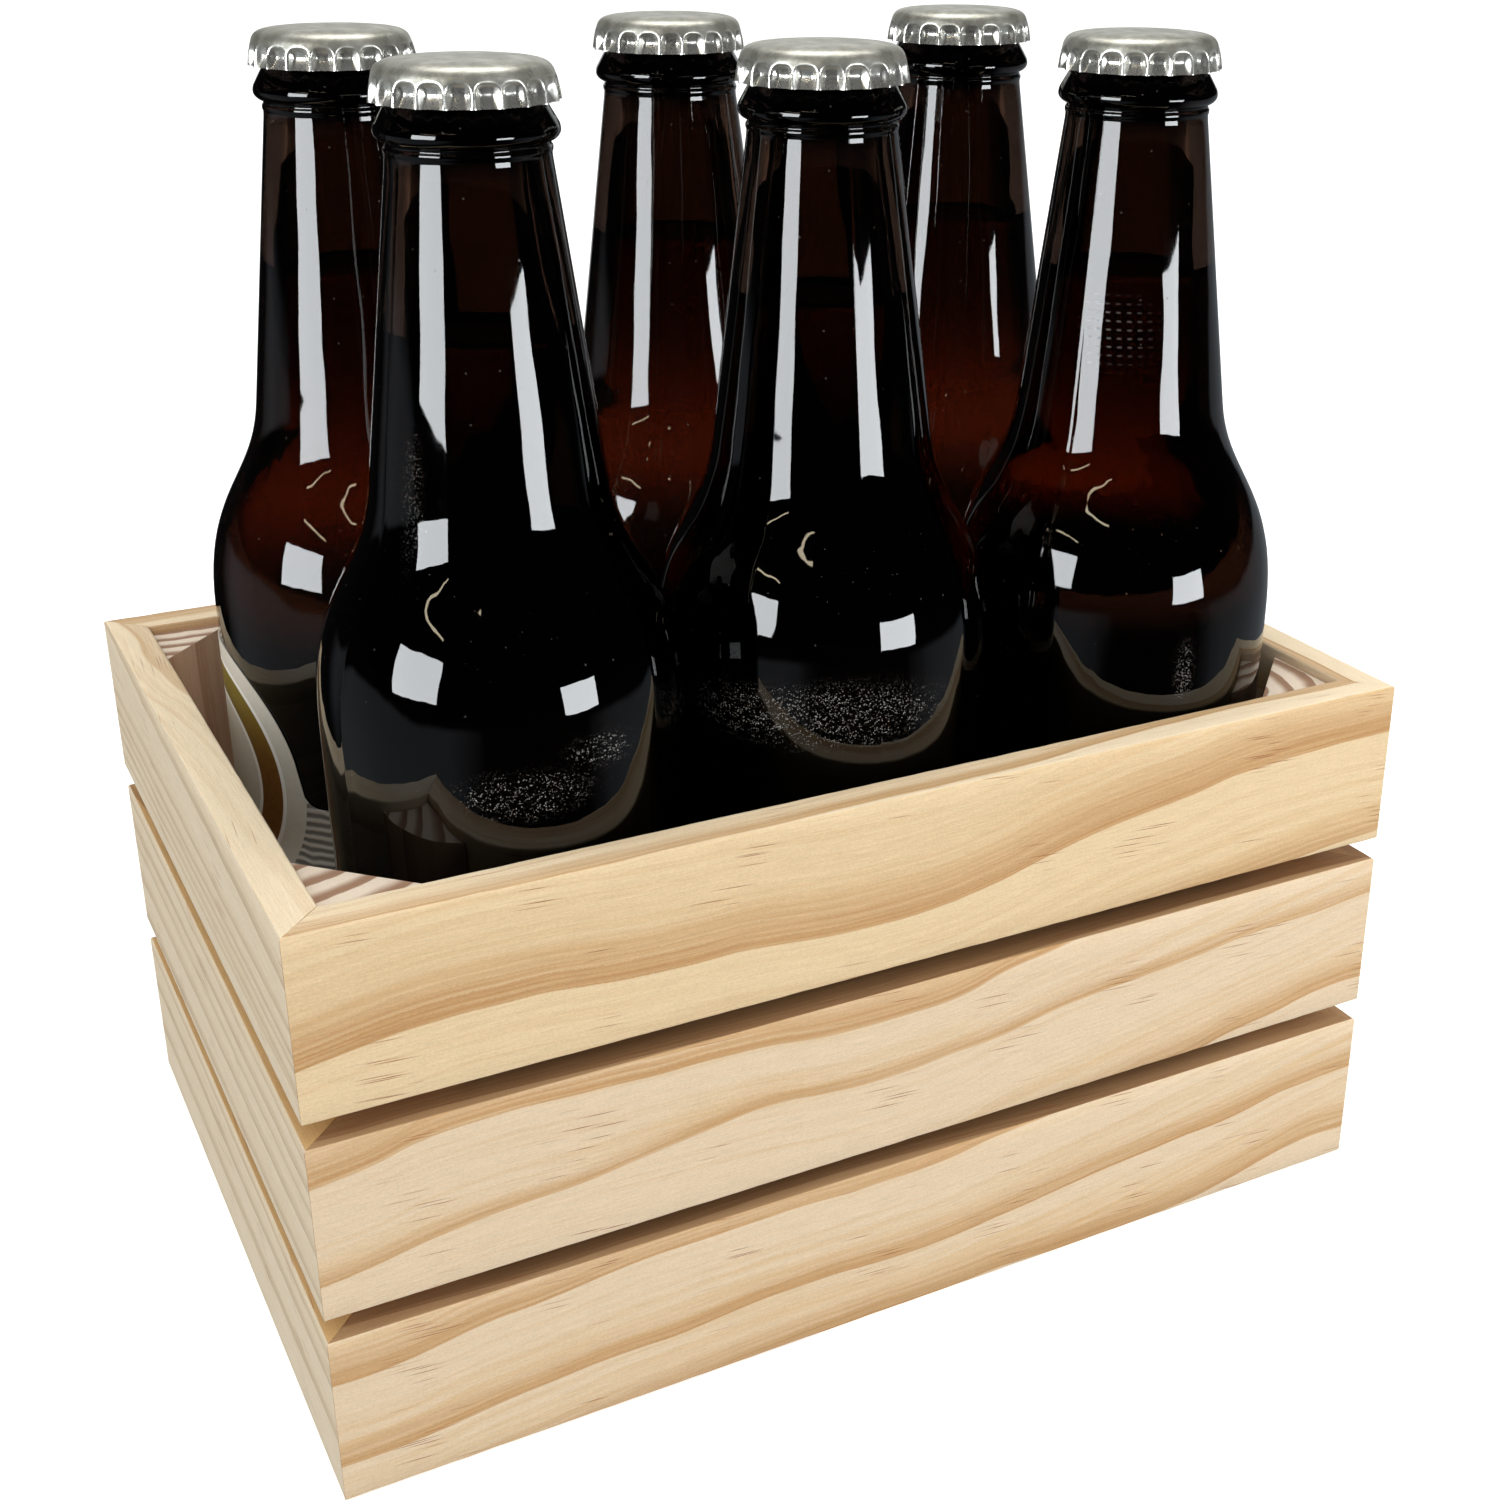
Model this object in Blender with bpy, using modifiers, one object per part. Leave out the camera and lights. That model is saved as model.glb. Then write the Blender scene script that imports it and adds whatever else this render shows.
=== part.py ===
"""A small pine crate of mitred slats that holds six capped bottles of dark beer.

The frame is in metres with +Z up. The origin is at the middle of the crate's base, on the surface that it stands on.
The long front of the crate faces -Y. Its left end is at -X.
"""

import math

import bmesh
import bpy

# Crate, outside sizes
CRATE_WIDTH = 0.211
CRATE_DEPTH = 0.1475
SLAT_HEIGHT = 0.0324
SLAT_GAP = 0.0043
SLAT_THICKNESS = 0.0076
SLAT_ARRIS = 0.0004
SLATS_PER_SIDE = ("bottom", "middle", "top")

# Corner posts and floor inside the slats
POST_LEGS = {"front_left": 0.0188, "front_right": 0.0180, "back_left": 0.0156, "back_right": 0.0180}
POST_BELOW_RIM = 0.0016
FLOOR_THICKNESS = 0.0055
FLOOR_RAISE = 0.001

# Space left between pieces that rest on each other
GAP = 0.0003

# Bottle, as radii and as depths below the lower edge of its cap
SKIRT_HEIGHT = 0.2165
LIP_RISE = 0.0048
LIP_RADIUS = 0.0117
LIP_ROUND = 0.0007
UNDER_CAP_RADIUS = 0.0119
COLLAR_RADIUS = 0.0139
COLLAR_DEPTH = 0.0041
COLLAR_EASE = 0.0002
COLLAR_EASE_RISE = 0.001
NECK_TOP_RADIUS = 0.01245
NECK_TOP_DEPTH = 0.0066
NECK_FOOT_RADIUS = 0.0191
NECK_FOOT_DEPTH = 0.059
SHOULDER_RADIUS = 0.03035
SHOULDER_DEPTH = 0.0966
SHOULDER_SLOPE_REACH = 0.0143
SHOULDER_ROUND_REACH = 0.0215
PANEL_RADIUS = 0.0300
PANEL_DEPTH = 0.1015
HEEL_ROUND = 0.005
HEEL_MIDDLE_SHARE = 0.3
BORE_RADIUS = 0.0085
WALL_NECK = 0.0032
WALL_BODY = 0.0026
WALL_BASE = 0.0045
TURN_STEPS = 16
SHOULDER_STEPS = 4

# Beer stands this far below the lower edge of the cap
BEER_DEPTH = 0.034

# Crown cap, crimped on
CAP_RADIUS = 0.01435
CAP_HEIGHT = 0.0062
CAP_TOP_RADIUS = 0.0121
CAP_SHOULDER_RADIUS = 0.0131
CAP_SHOULDER_DROP = 0.0013
CAP_WALL = 0.0007
CAP_TEETH = 21
CAP_TOOTH_DEPTH = 0.0009

# Paper label on the bottle at the back left: a round head on a broad band
LABEL_FACING = math.radians(174.0)
LABEL_CENTRE_HEIGHT = 0.0894
LABEL_HEAD_RADIUS = 0.0250
LABEL_BAND_TOP = 0.0872
LABEL_BAND_BOTTOM = 0.036
LABEL_BAND_HALF = 0.045
LABEL_THICKNESS = 0.00025
LABEL_COLUMNS = 24

# Where the six bottles stand, loose inside the crate
BOTTLE_PLACES = {
    "back_left": (-0.0604, 0.0273),
    "front_left": (-0.0573, -0.0353),
    "back_middle": (0.0049, 0.0325),
    "front_middle": (0.0038, -0.0329),
    "back_right": (0.0661, 0.0279),
    "front_right": (0.0650, -0.0354),
}

CRATE_HEIGHT = 3 * SLAT_HEIGHT + 2 * SLAT_GAP
FLOOR_TOP = FLOOR_RAISE + FLOOR_THICKNESS
BOTTLE_BASE = FLOOR_TOP + GAP
MERGE = 0.00005
SHARP_FROM = math.radians(35)


def clear_scene():
    for obj in list(bpy.data.objects):
        bpy.data.objects.remove(obj, do_unlink=True)


def new_collection(name):
    collection = bpy.data.collections.new(name)
    bpy.context.scene.collection.children.link(collection)
    return collection


def principled(name, colour, roughness, metallic=0.0, transmission=0.0):
    material = bpy.data.materials.new(name)
    material.use_nodes = True
    shader = material.node_tree.nodes["Principled BSDF"]
    shader.inputs["Base Color"].default_value = (*colour, 1.0)
    shader.inputs["Roughness"].default_value = roughness
    shader.inputs["Metallic"].default_value = metallic
    shader.inputs["Transmission Weight"].default_value = transmission
    return material


def pine_material():
    return principled("pine", (0.72, 0.53, 0.33), 0.62)


def glass_material():
    return principled("brown_glass", (0.045, 0.018, 0.008), 0.05, transmission=0.6)


def beer_material():
    return principled("dark_beer", (0.02, 0.006, 0.002), 0.1)


def tin_material():
    return principled("tinplate", (0.60, 0.59, 0.55), 0.3, metallic=1.0)


def paper_material():
    return principled("label_paper", (0.70, 0.67, 0.60), 0.55)


def add_object(collection, name, data, material):
    data.materials.append(material)
    obj = bpy.data.objects.new(name, data)
    collection.objects.link(obj)
    return obj


def smooth(mesh):
    mesh.shade_smooth()
    mesh.set_sharp_from_angle(angle=SHARP_FROM)


def box_mesh(name, size):
    mesh = bpy.data.meshes.new(name)
    work = bmesh.new()
    bmesh.ops.create_cube(work, size=1.0)
    bmesh.ops.scale(work, vec=size, verts=work.verts)
    work.to_mesh(mesh)
    work.free()
    return mesh


def mitred_slat_mesh(name, length):
    """A slat along X whose outer face is at -Y; both ends are cut at 45 degrees towards the inner face."""
    mesh = box_mesh(name, (length, SLAT_THICKNESS, SLAT_HEIGHT))
    mitre_gap = GAP / math.sqrt(2.0)
    for vertex in mesh.vertices:
        inner = vertex.co.y > 0.0
        shorten = mitre_gap + (SLAT_THICKNESS if inner else 0.0)
        vertex.co.x -= math.copysign(shorten, vertex.co.x)
    return mesh


def add_slats(collection, material):
    """Three slats on each of the four sides, with an open gap between them."""
    sides = {
        "front": (CRATE_WIDTH, CRATE_DEPTH, 0.0),
        "right": (CRATE_DEPTH, CRATE_WIDTH, 90.0),
        "back": (CRATE_WIDTH, CRATE_DEPTH, 180.0),
        "left": (CRATE_DEPTH, CRATE_WIDTH, 270.0),
    }
    for side, (length, across, turn) in sides.items():
        mesh = mitred_slat_mesh("slat_" + side, length)
        turn = math.radians(turn)
        reach = across / 2 - SLAT_THICKNESS / 2
        for level, tier in enumerate(SLATS_PER_SIDE):
            slat = add_object(collection, f"slat_{side}_{tier}", mesh.copy(), material)
            middle = SLAT_HEIGHT / 2 + level * (SLAT_HEIGHT + SLAT_GAP)
            slat.location = (reach * math.sin(turn), -reach * math.cos(turn), middle)
            slat.rotation_euler.z = turn
            bevel = slat.modifiers.new("eased edges", "BEVEL")
            bevel.width = SLAT_ARRIS
            bevel.segments = 1
        bpy.data.meshes.remove(mesh)


def add_posts(collection, material):
    """A triangular post in each inner corner, from the floor to just below the rim."""
    height = CRATE_HEIGHT - POST_BELOW_RIM - FLOOR_TOP - GAP
    corner_x = CRATE_WIDTH / 2 - SLAT_THICKNESS - GAP
    corner_y = CRATE_DEPTH / 2 - SLAT_THICKNESS - GAP
    for place, leg in POST_LEGS.items():
        sign_x = 1 if place.endswith("right") else -1
        sign_y = 1 if place.startswith("back") else -1
        outline = bpy.data.curves.new("post_" + place, "CURVE")
        outline.dimensions = "2D"
        outline.fill_mode = "BOTH"
        outline.extrude = height / 2
        spline = outline.splines.new("POLY")
        spline.points.add(2)
        spline.use_cyclic_u = True
        corners = ((0.0, 0.0), (-sign_x * leg, 0.0), (0.0, -sign_y * leg))
        for point, (x, y) in zip(spline.points, corners):
            point.co = (x, y, 0.0, 1.0)
        post = add_object(collection, "post_" + place, outline, material)
        post.location = (sign_x * corner_x, sign_y * corner_y, FLOOR_TOP + GAP + height / 2)


def add_floor(collection, material):
    """One thin board let in between the bottom slats."""
    inside = 2 * (SLAT_THICKNESS + GAP)
    size = (CRATE_WIDTH - inside, CRATE_DEPTH - inside, FLOOR_THICKNESS)
    panel = add_object(collection, "floor_panel", box_mesh("floor_panel", size), material)
    panel.location = (0.0, 0.0, FLOOR_RAISE + FLOOR_THICKNESS / 2)


def cubic(start, start_handle, end_handle, end, t):
    """A point on a cubic curve between two (radius, depth) points."""
    weights = ((1 - t) ** 3, 3 * t * (1 - t) ** 2, 3 * t * t * (1 - t), t ** 3)
    corners = (start, start_handle, end_handle, end)
    return tuple(sum(w * c[axis] for w, c in zip(weights, corners)) for axis in (0, 1))


def shoulder_points():
    """The sweep from the foot of the neck to the fullest part of the bottle, as (radius, depth)."""
    slope = (NECK_FOOT_RADIUS - NECK_TOP_RADIUS) / (NECK_FOOT_DEPTH - NECK_TOP_DEPTH)
    start = (NECK_FOOT_RADIUS, NECK_FOOT_DEPTH)
    end = (SHOULDER_RADIUS, SHOULDER_DEPTH)
    start_handle = (start[0] + slope * SHOULDER_SLOPE_REACH, start[1] + SHOULDER_SLOPE_REACH)
    end_handle = (end[0], end[1] - SHOULDER_ROUND_REACH)
    steps = range(SHOULDER_STEPS + 1)
    return [cubic(start, start_handle, end_handle, end, step / SHOULDER_STEPS) for step in steps]


def outer_profile():
    """The bottle's outside from its lip down to the middle of its base, as (radius, height)."""
    points = [
        (LIP_RADIUS - LIP_ROUND, -LIP_RISE),
        (LIP_RADIUS, -LIP_RISE + LIP_ROUND),
        (UNDER_CAP_RADIUS, 0.0),
        (COLLAR_RADIUS - COLLAR_EASE, COLLAR_DEPTH - COLLAR_EASE_RISE),
        (COLLAR_RADIUS, COLLAR_DEPTH),
        (NECK_TOP_RADIUS, NECK_TOP_DEPTH),
    ]
    points += shoulder_points()
    base_depth = SKIRT_HEIGHT - BOTTLE_BASE
    heel_middle = HEEL_MIDDLE_SHARE * HEEL_ROUND
    points += [
        (PANEL_RADIUS, PANEL_DEPTH),
        (PANEL_RADIUS, base_depth - HEEL_ROUND),
        (PANEL_RADIUS - heel_middle, base_depth - heel_middle),
        (PANEL_RADIUS - HEEL_ROUND, base_depth),
        (0.0, base_depth),
    ]
    return [(radius, SKIRT_HEIGHT - depth) for radius, depth in points]


def inner_profile():
    """The bottle's inside from the middle of its base up to its mouth, as (radius, height)."""
    floor_height = BOTTLE_BASE + WALL_BASE
    inner_radius = PANEL_RADIUS - WALL_BODY
    points = [(0.0, floor_height), (inner_radius - HEEL_ROUND / 2, floor_height)]
    points.append((inner_radius, floor_height + HEEL_ROUND / 2))
    points.append((inner_radius, SKIRT_HEIGHT - PANEL_DEPTH))
    for radius, depth in reversed(shoulder_points()[::2]):
        points.append((radius - WALL_NECK, SKIRT_HEIGHT - depth))
    points.append((BORE_RADIUS, SKIRT_HEIGHT - NECK_TOP_DEPTH))
    points.append((BORE_RADIUS, SKIRT_HEIGHT + LIP_RISE))
    return points


def radius_at(profile, height):
    """The radius of a rising profile at one height."""
    for (low_radius, low), (high_radius, high) in zip(profile, profile[1:]):
        if low < height <= high:
            return low_radius + (high_radius - low_radius) * (height - low) / (high - low)
    return profile[-1][0]


def beer_profile():
    """The beer from the middle of its surface down to the middle of its base, a gap inside the glass."""
    level = SKIRT_HEIGHT - BEER_DEPTH
    inside = inner_profile()
    wetted = [(radius - GAP, height) for radius, height in inside[1:] if height < level]
    wetted[0] = (wetted[0][0], wetted[0][1] + GAP)
    points = [(0.0, level), (radius_at(inside, level) - GAP, level)]
    points += reversed(wetted)
    points.append((0.0, BOTTLE_BASE + WALL_BASE + GAP))
    return points


def turned_mesh(name, points):
    """An upright profile of (radius, height) points, made into a mesh that a Screw modifier turns."""
    mesh = bpy.data.meshes.new(name)
    edges = [(index, index + 1) for index in range(len(points) - 1)]
    mesh.from_pydata([(radius, 0.0, height) for radius, height in points], edges, [])
    return mesh


def add_turned(collection, name, mesh, place, material):
    obj = add_object(collection, name, mesh, material)
    obj.location = (place[0], place[1], 0.0)
    screw = obj.modifiers.new("turn", "SCREW")
    screw.steps = TURN_STEPS
    screw.render_steps = TURN_STEPS
    screw.use_merge_vertices = True
    screw.merge_threshold = MERGE
    screw.use_smooth_shade = True
    return obj


def add_bottles(collection, material):
    points = inner_profile() + outer_profile()
    for place, spot in BOTTLE_PLACES.items():
        add_turned(collection, "bottle_" + place, turned_mesh("bottle", points), spot, material)


def add_beers(collection, material):
    points = beer_profile()
    for place, spot in BOTTLE_PLACES.items():
        add_turned(collection, "beer_" + place, turned_mesh("beer", points), spot, material)


def cap_ring(work, radius, tooth, height):
    """One ring of the cap, with every second point pulled in by the tooth depth."""
    count = 2 * CAP_TEETH
    ring = []
    for index in range(count):
        angle = 2 * math.pi * index / count
        reach = radius - (tooth if index % 2 else 0.0)
        ring.append(work.verts.new((reach * math.cos(angle), reach * math.sin(angle), height)))
    return ring


def crown_cap_mesh():
    """A fluted tin cup, open below, whose lower edge is at height 0."""
    inner_height = CAP_HEIGHT - CAP_WALL
    shoulder = CAP_HEIGHT - CAP_SHOULDER_DROP
    work = bmesh.new()
    rings = [
        cap_ring(work, CAP_TOP_RADIUS, 0.0, CAP_HEIGHT),
        cap_ring(work, CAP_SHOULDER_RADIUS, 0.0, shoulder),
        cap_ring(work, CAP_RADIUS, CAP_TOOTH_DEPTH, 0.0),
        cap_ring(work, CAP_RADIUS - CAP_WALL, CAP_TOOTH_DEPTH, 0.0),
        cap_ring(work, CAP_SHOULDER_RADIUS - CAP_WALL, 0.0, shoulder),
        cap_ring(work, CAP_TOP_RADIUS - CAP_WALL, 0.0, inner_height),
    ]
    for upper, lower in zip(rings, rings[1:]):
        for index in range(len(upper)):
            after = (index + 1) % len(upper)
            work.faces.new((upper[index], lower[index], lower[after], upper[after]))
    work.faces.new(rings[0])
    work.faces.new(list(reversed(rings[-1])))
    mesh = bpy.data.meshes.new("crown_cap")
    work.to_mesh(mesh)
    work.free()
    smooth(mesh)
    return mesh


def add_caps(collection, material):
    for place, (x, y) in BOTTLE_PLACES.items():
        cap = add_object(collection, "cap_" + place, crown_cap_mesh(), material)
        cap.location = (x, y, SKIRT_HEIGHT)


def label_top(along):
    """The height of the label's upper edge, at a distance round the bottle from the label's middle."""
    if abs(along) >= LABEL_HEAD_RADIUS:
        return LABEL_BAND_TOP
    arch = LABEL_CENTRE_HEIGHT + math.sqrt(LABEL_HEAD_RADIUS ** 2 - along ** 2)
    return max(LABEL_BAND_TOP, arch)


def label_mesh():
    """A thin curved sheet of paper, lofted column by column round the bottle."""
    inner = PANEL_RADIUS + GAP
    outer = inner + LABEL_THICKNESS
    work = bmesh.new()
    columns = []
    for step in range(LABEL_COLUMNS + 1):
        along = LABEL_BAND_HALF * (2 * step / LABEL_COLUMNS - 1)
        angle = LABEL_FACING + along / outer
        column = []
        for radius, height in (
            (outer, LABEL_BAND_BOTTOM),
            (outer, label_top(along)),
            (inner, label_top(along)),
            (inner, LABEL_BAND_BOTTOM),
        ):
            column.append(work.verts.new((radius * math.cos(angle), radius * math.sin(angle), height)))
        columns.append(column)
    for before, after in zip(columns, columns[1:]):
        for index in range(4):
            following = (index + 1) % 4
            work.faces.new((before[index], after[index], after[following], before[following]))
    work.faces.new(columns[0])
    work.faces.new(list(reversed(columns[-1])))
    mesh = bpy.data.meshes.new("label")
    work.to_mesh(mesh)
    work.free()
    smooth(mesh)
    return mesh


def add_label(collection, material):
    label = add_object(collection, "label_back_left", label_mesh(), material)
    x, y = BOTTLE_PLACES["back_left"]
    label.location = (x, y, 0.0)


def main():
    clear_scene()
    parts = new_collection("beer_crate")
    pine = pine_material()
    add_slats(parts, pine)
    add_posts(parts, pine)
    add_floor(parts, pine)
    add_bottles(parts, glass_material())
    add_beers(parts, beer_material())
    add_caps(parts, tin_material())
    add_label(parts, paper_material())


main()
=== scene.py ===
"""Looks of a small pine crate that holds six capped bottles of dark beer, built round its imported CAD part.

Everything is in metres in the frame of the CAD: +Z up, the crate's long front at -Y, its left end at -X.
"""

import math
import random

import bmesh
import bpy
from mathutils import Matrix, Vector, noise


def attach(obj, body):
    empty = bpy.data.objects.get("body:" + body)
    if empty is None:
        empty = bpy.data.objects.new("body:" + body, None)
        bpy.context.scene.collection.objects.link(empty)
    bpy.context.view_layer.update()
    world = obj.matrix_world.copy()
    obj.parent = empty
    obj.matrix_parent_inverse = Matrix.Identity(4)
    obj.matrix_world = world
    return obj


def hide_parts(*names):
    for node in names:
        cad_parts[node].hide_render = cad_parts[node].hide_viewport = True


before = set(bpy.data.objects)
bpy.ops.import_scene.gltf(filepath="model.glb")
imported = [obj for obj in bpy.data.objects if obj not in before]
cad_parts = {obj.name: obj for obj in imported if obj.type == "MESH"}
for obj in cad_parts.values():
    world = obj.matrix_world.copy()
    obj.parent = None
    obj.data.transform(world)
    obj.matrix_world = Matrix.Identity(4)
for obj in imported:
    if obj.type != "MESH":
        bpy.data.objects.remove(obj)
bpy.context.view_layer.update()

MM = 0.001
# Metres to mm, and a width in metres to half of it in mm
IN_MM = 1000.0
HALF_IN_MM = 500.0

# Crate, as in the CAD
CRATE_WIDTH = 0.211
CRATE_DEPTH = 0.1475
SLAT_HEIGHT = 0.0324
SLAT_GAP = 0.0043
SLAT_THICKNESS = 0.0076
TIERS = ("bottom", "middle", "top")
POST_LEGS = {"front_left": 0.0188, "front_right": 0.0180, "back_left": 0.0156, "back_right": 0.0180}

# Bottles and caps, as in the CAD: radii, and depths below the lower edge of the cap
SKIRT_HEIGHT = 0.2165
NECK_FOOT_RADIUS = 0.0191
NECK_FOOT_DEPTH = 0.059
NECK_TOP_RADIUS = 0.01258
NECK_TOP_DEPTH = 0.0078
SHOULDER_RADIUS = 0.03035
SHOULDER_DEPTH = 0.0966
SHOULDER_SLOPE_REACH = 0.0143
SHOULDER_ROUND_REACH = 0.0215
PANEL_RADIUS = 0.0300
PANEL_DEPTH = 0.1015
BORE_RADIUS = 0.0085
WALL_NECK = 0.0032
WALL_BODY = 0.0026
BEER_DEPTH = 0.034
BOTTLE_BASE = 0.0068
BOTTLE_PLACES = {
    "back_left": (-0.0604, 0.0273),
    "front_left": (-0.0573, -0.0353),
    "back_middle": (0.0049, 0.0325),
    "front_middle": (0.0038, -0.0329),
    "back_right": (0.0661, 0.0279),
    "front_right": (0.0650, -0.0354),
}

# Label, as in the CAD
LABEL_FACING = math.radians(174.0)
LABEL_CENTRE_HEIGHT = 0.0894
LABEL_HEAD_RADIUS = 0.0250
LABEL_BAND_TOP = 0.0872
LABEL_BAND_BOTTOM = 0.036
LABEL_BAND_HALF = 0.045

# The photograph's camera, solved from the crate's edges
CAMERA_PLACE = (-0.1537383, -0.3368575, 0.2504222)
CAMERA_FORWARD = (0.43880906, 0.80906403, -0.39097571)
CAMERA_RIGHT = (0.88064854, -0.47370019, 0.00814058)
CAMERA_LENS = 48.35
CAMERA_SHIFT = (-0.0710, -0.0261)


def link(obj):
    bpy.context.scene.collection.objects.link(obj)
    return obj


def srgb(red, green, blue):
    """A colour given as 0 to 255 screen values, as the linear values that shaders take."""
    def linear(value):
        value /= 255.0
        return value / 12.92 if value <= 0.04045 else ((value + 0.055) / 1.055) ** 2.4
    return (linear(red), linear(green), linear(blue), 1.0)


def smoothstep(low, high, value):
    t = min(1.0, max(0.0, (value - low) / (high - low)))
    return t * t * (3.0 - 2.0 * t)


def along(points, x):
    """The height of a polyline of (x, y) points at x."""
    for (x0, y0), (x1, y1) in zip(points, points[1:]):
        if x <= x1:
            return y0 + (y1 - y0) * (x - x0) / (x1 - x0)
    return points[-1][1]


class Graph:
    """Adds nodes to one node tree. Each method takes sockets or plain values and gives the output socket."""

    def __init__(self, tree):
        self.tree = tree

    def node(self, kind, **settings):
        made = self.tree.nodes.new(kind)
        for name, value in settings.items():
            setattr(made, name, value)
        return made

    def put(self, socket, value):
        if isinstance(value, bpy.types.NodeSocket):
            self.tree.links.new(value, socket)
        else:
            socket.default_value = value

    def math(self, operation, *values, clamp=False):
        made = self.node("ShaderNodeMath", operation=operation, use_clamp=clamp)
        for socket, value in zip(made.inputs, values):
            self.put(socket, value)
        return made.outputs[0]

    def sum(self, first, *rest):
        for value in rest:
            first = self.math("ADD", first, value)
        return first

    def product(self, first, *rest, clamp=False):
        for value in rest:
            first = self.math("MULTIPLY", first, value, clamp=clamp)
        return first

    def scaled(self, value, factor, offset=0.0):
        return self.math("MULTIPLY_ADD", value, factor, offset)

    def inverse(self, value, clamp=False):
        """1 less the value."""
        return self.math("SUBTRACT", 1.0, value, clamp=clamp)

    def reach(self, x, y):
        """The distance of (x, y) from the origin."""
        return self.math("SQRT", self.sum(self.product(x, x), self.product(y, y)))

    def step(self, value, low, high):
        """0 below low and 1 above high, eased in between."""
        made = self.node("ShaderNodeMapRange", interpolation_type="SMOOTHSTEP")
        for name, given in (("Value", value), ("From Min", low), ("From Max", high)):
            self.put(made.inputs[name], given)
        return made.outputs[0]

    def fade(self, value, low, high):
        """1 below low and 0 above high, eased in between."""
        return self.inverse(self.step(value, low, high))

    def mixed(self, kind, factor, first, second, **settings):
        made = self.node("ShaderNodeMix", data_type=kind, **settings)
        for name, given in (("Factor", factor), ("A", first), ("B", second)):
            self.put(made.inputs[name], given)
        return made.outputs["Result"]

    def mix(self, factor, first, second, blend="MIX"):
        return self.mixed("RGBA", factor, first, second, blend_type=blend)

    def blend(self, factor, first, second):
        """Between two plain numbers."""
        return self.mixed("FLOAT", factor, first, second)

    def split(self, vector):
        made = self.node("ShaderNodeSeparateXYZ")
        self.put(made.inputs[0], vector)
        return made.outputs

    def join(self, x, y, z):
        made = self.node("ShaderNodeCombineXYZ")
        for socket, value in zip(made.inputs, (x, y, z)):
            self.put(socket, value)
        return made.outputs[0]

    def stretched(self, values, factors, *rest):
        """A vector of the values, each times its factor, and then the rest as they are."""
        return self.join(*(self.scaled(value, factor) for value, factor in zip(values, factors)), *rest)

    def noise(self, vector, scale=1.0, detail=2.0, roughness=0.5):
        made = self.node("ShaderNodeTexNoise")
        self.put(made.inputs["Vector"], vector)
        made.inputs["Scale"].default_value = scale
        made.inputs["Detail"].default_value = detail
        made.inputs["Roughness"].default_value = roughness
        return made.outputs["Fac"]

    def dots(self, vector, scale, near, chosen, lane=0, flat=False):
        """Dots at scattered points: 1 within near[0], 0 beyond near[1]. A random number picks which show."""
        made = self.node("ShaderNodeTexVoronoi", voronoi_dimensions="2D" if flat else "3D")
        self.put(made.inputs["Vector"], vector)
        made.inputs["Scale"].default_value = scale
        chance = self.split(made.outputs["Color"])[lane]
        return self.product(self.fade(made.outputs["Distance"], *near), self.step(chance, *chosen))

    def curve(self, value, points):
        """A smooth curve through (0 to 1, 0 to 1) points."""
        made = self.node("ShaderNodeFloatCurve")
        line = made.mapping.curves[0]
        line.points[0].location = points[0]
        line.points[1].location = points[-1]
        for place in points[1:-1]:
            line.points.new(*place)
        made.mapping.update()
        self.put(made.inputs["Value"], value)
        return made.outputs[0]

    def bump(self, height, distance):
        made = self.node("ShaderNodeBump")
        self.put(made.inputs["Height"], height)
        made.inputs["Distance"].default_value = distance
        return made.outputs[0]


def principled(name):
    """A new material, its graph and its Principled shader's inputs."""
    material = bpy.data.materials.new(name)
    material.use_nodes = True
    graph = Graph(material.node_tree)
    return material, graph, material.node_tree.nodes["Principled BSDF"].inputs


def object_place(graph):
    return graph.node("ShaderNodeTexCoord").outputs["Object"]


def smooth_skin(work):
    """Turns every face of a bmesh outwards and shades it smooth."""
    bmesh.ops.recalc_face_normals(work, faces=work.faces)
    for face in work.faces:
        face.smooth = True


def finished_mesh(name, work, sharp=None):
    """Makes a mesh of a bmesh. Edges that bend by more than sharp degrees are shaded sharp."""
    mesh = bpy.data.meshes.new(name)
    work.to_mesh(mesh)
    work.free()
    if sharp is not None:
        mesh.set_sharp_from_angle(angle=math.radians(sharp))
    return mesh


def add_piece(mesh, place, node, turn=0.0):
    """Puts a mesh into the scene in the place of a CAD node."""
    piece = link(bpy.data.objects.new(mesh.name, mesh))
    piece.location = place
    piece.rotation_euler.z = turn
    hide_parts(node)
    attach(piece, "root")


# Pine. A growth band is (points, width, strength): the points are the band's sharp edge in mm along and
# across the board, and the wood darkens over the width up to that edge. Its three tones go from early wood
# to late wood.
LENGTH_SPAN = 220.0
ACROSS_SPAN = 90.0
CREAM = srgb(235, 212, 180)
WARM_CREAM = srgb(225, 190, 141)
LATE_TAN = srgb(199, 152, 99)
SUNNY_CREAM = srgb(238, 212, 170)
# The top tier's upper faces take a paler copy of the cream: painted light from above.
LIT_PALE_RIM = srgb(252, 232, 198)
FLECK = srgb(144, 70, 24)
# The left end's boards take greyer, darker copies of the face tones: painted shade on the left end.
SHADED_GREY_CREAM = srgb(224, 208, 181)
SHADED_GREY_WARM = srgb(215, 196, 163)
SHADED_GREY_TAN = srgb(182, 160, 128)
# The lower tiers' upper faces, seen only down the gaps, take darker copies of the tones: painted shade, a little
# less dark on the left end.
SHADED_TONES = (srgb(176, 142, 104), srgb(160, 124, 88), srgb(134, 98, 66))
GOLDEN_SHADED_TONES = (srgb(208, 170, 116), srgb(190, 150, 98), srgb(160, 122, 78))
# The posts take a darker, rosier copy of the wood's tones: painted shade on their faces inside the crate's
# corners.
ROSY_SHADED_TONES = (srgb(214, 176, 146), srgb(198, 158, 126), srgb(170, 126, 96))

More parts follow.
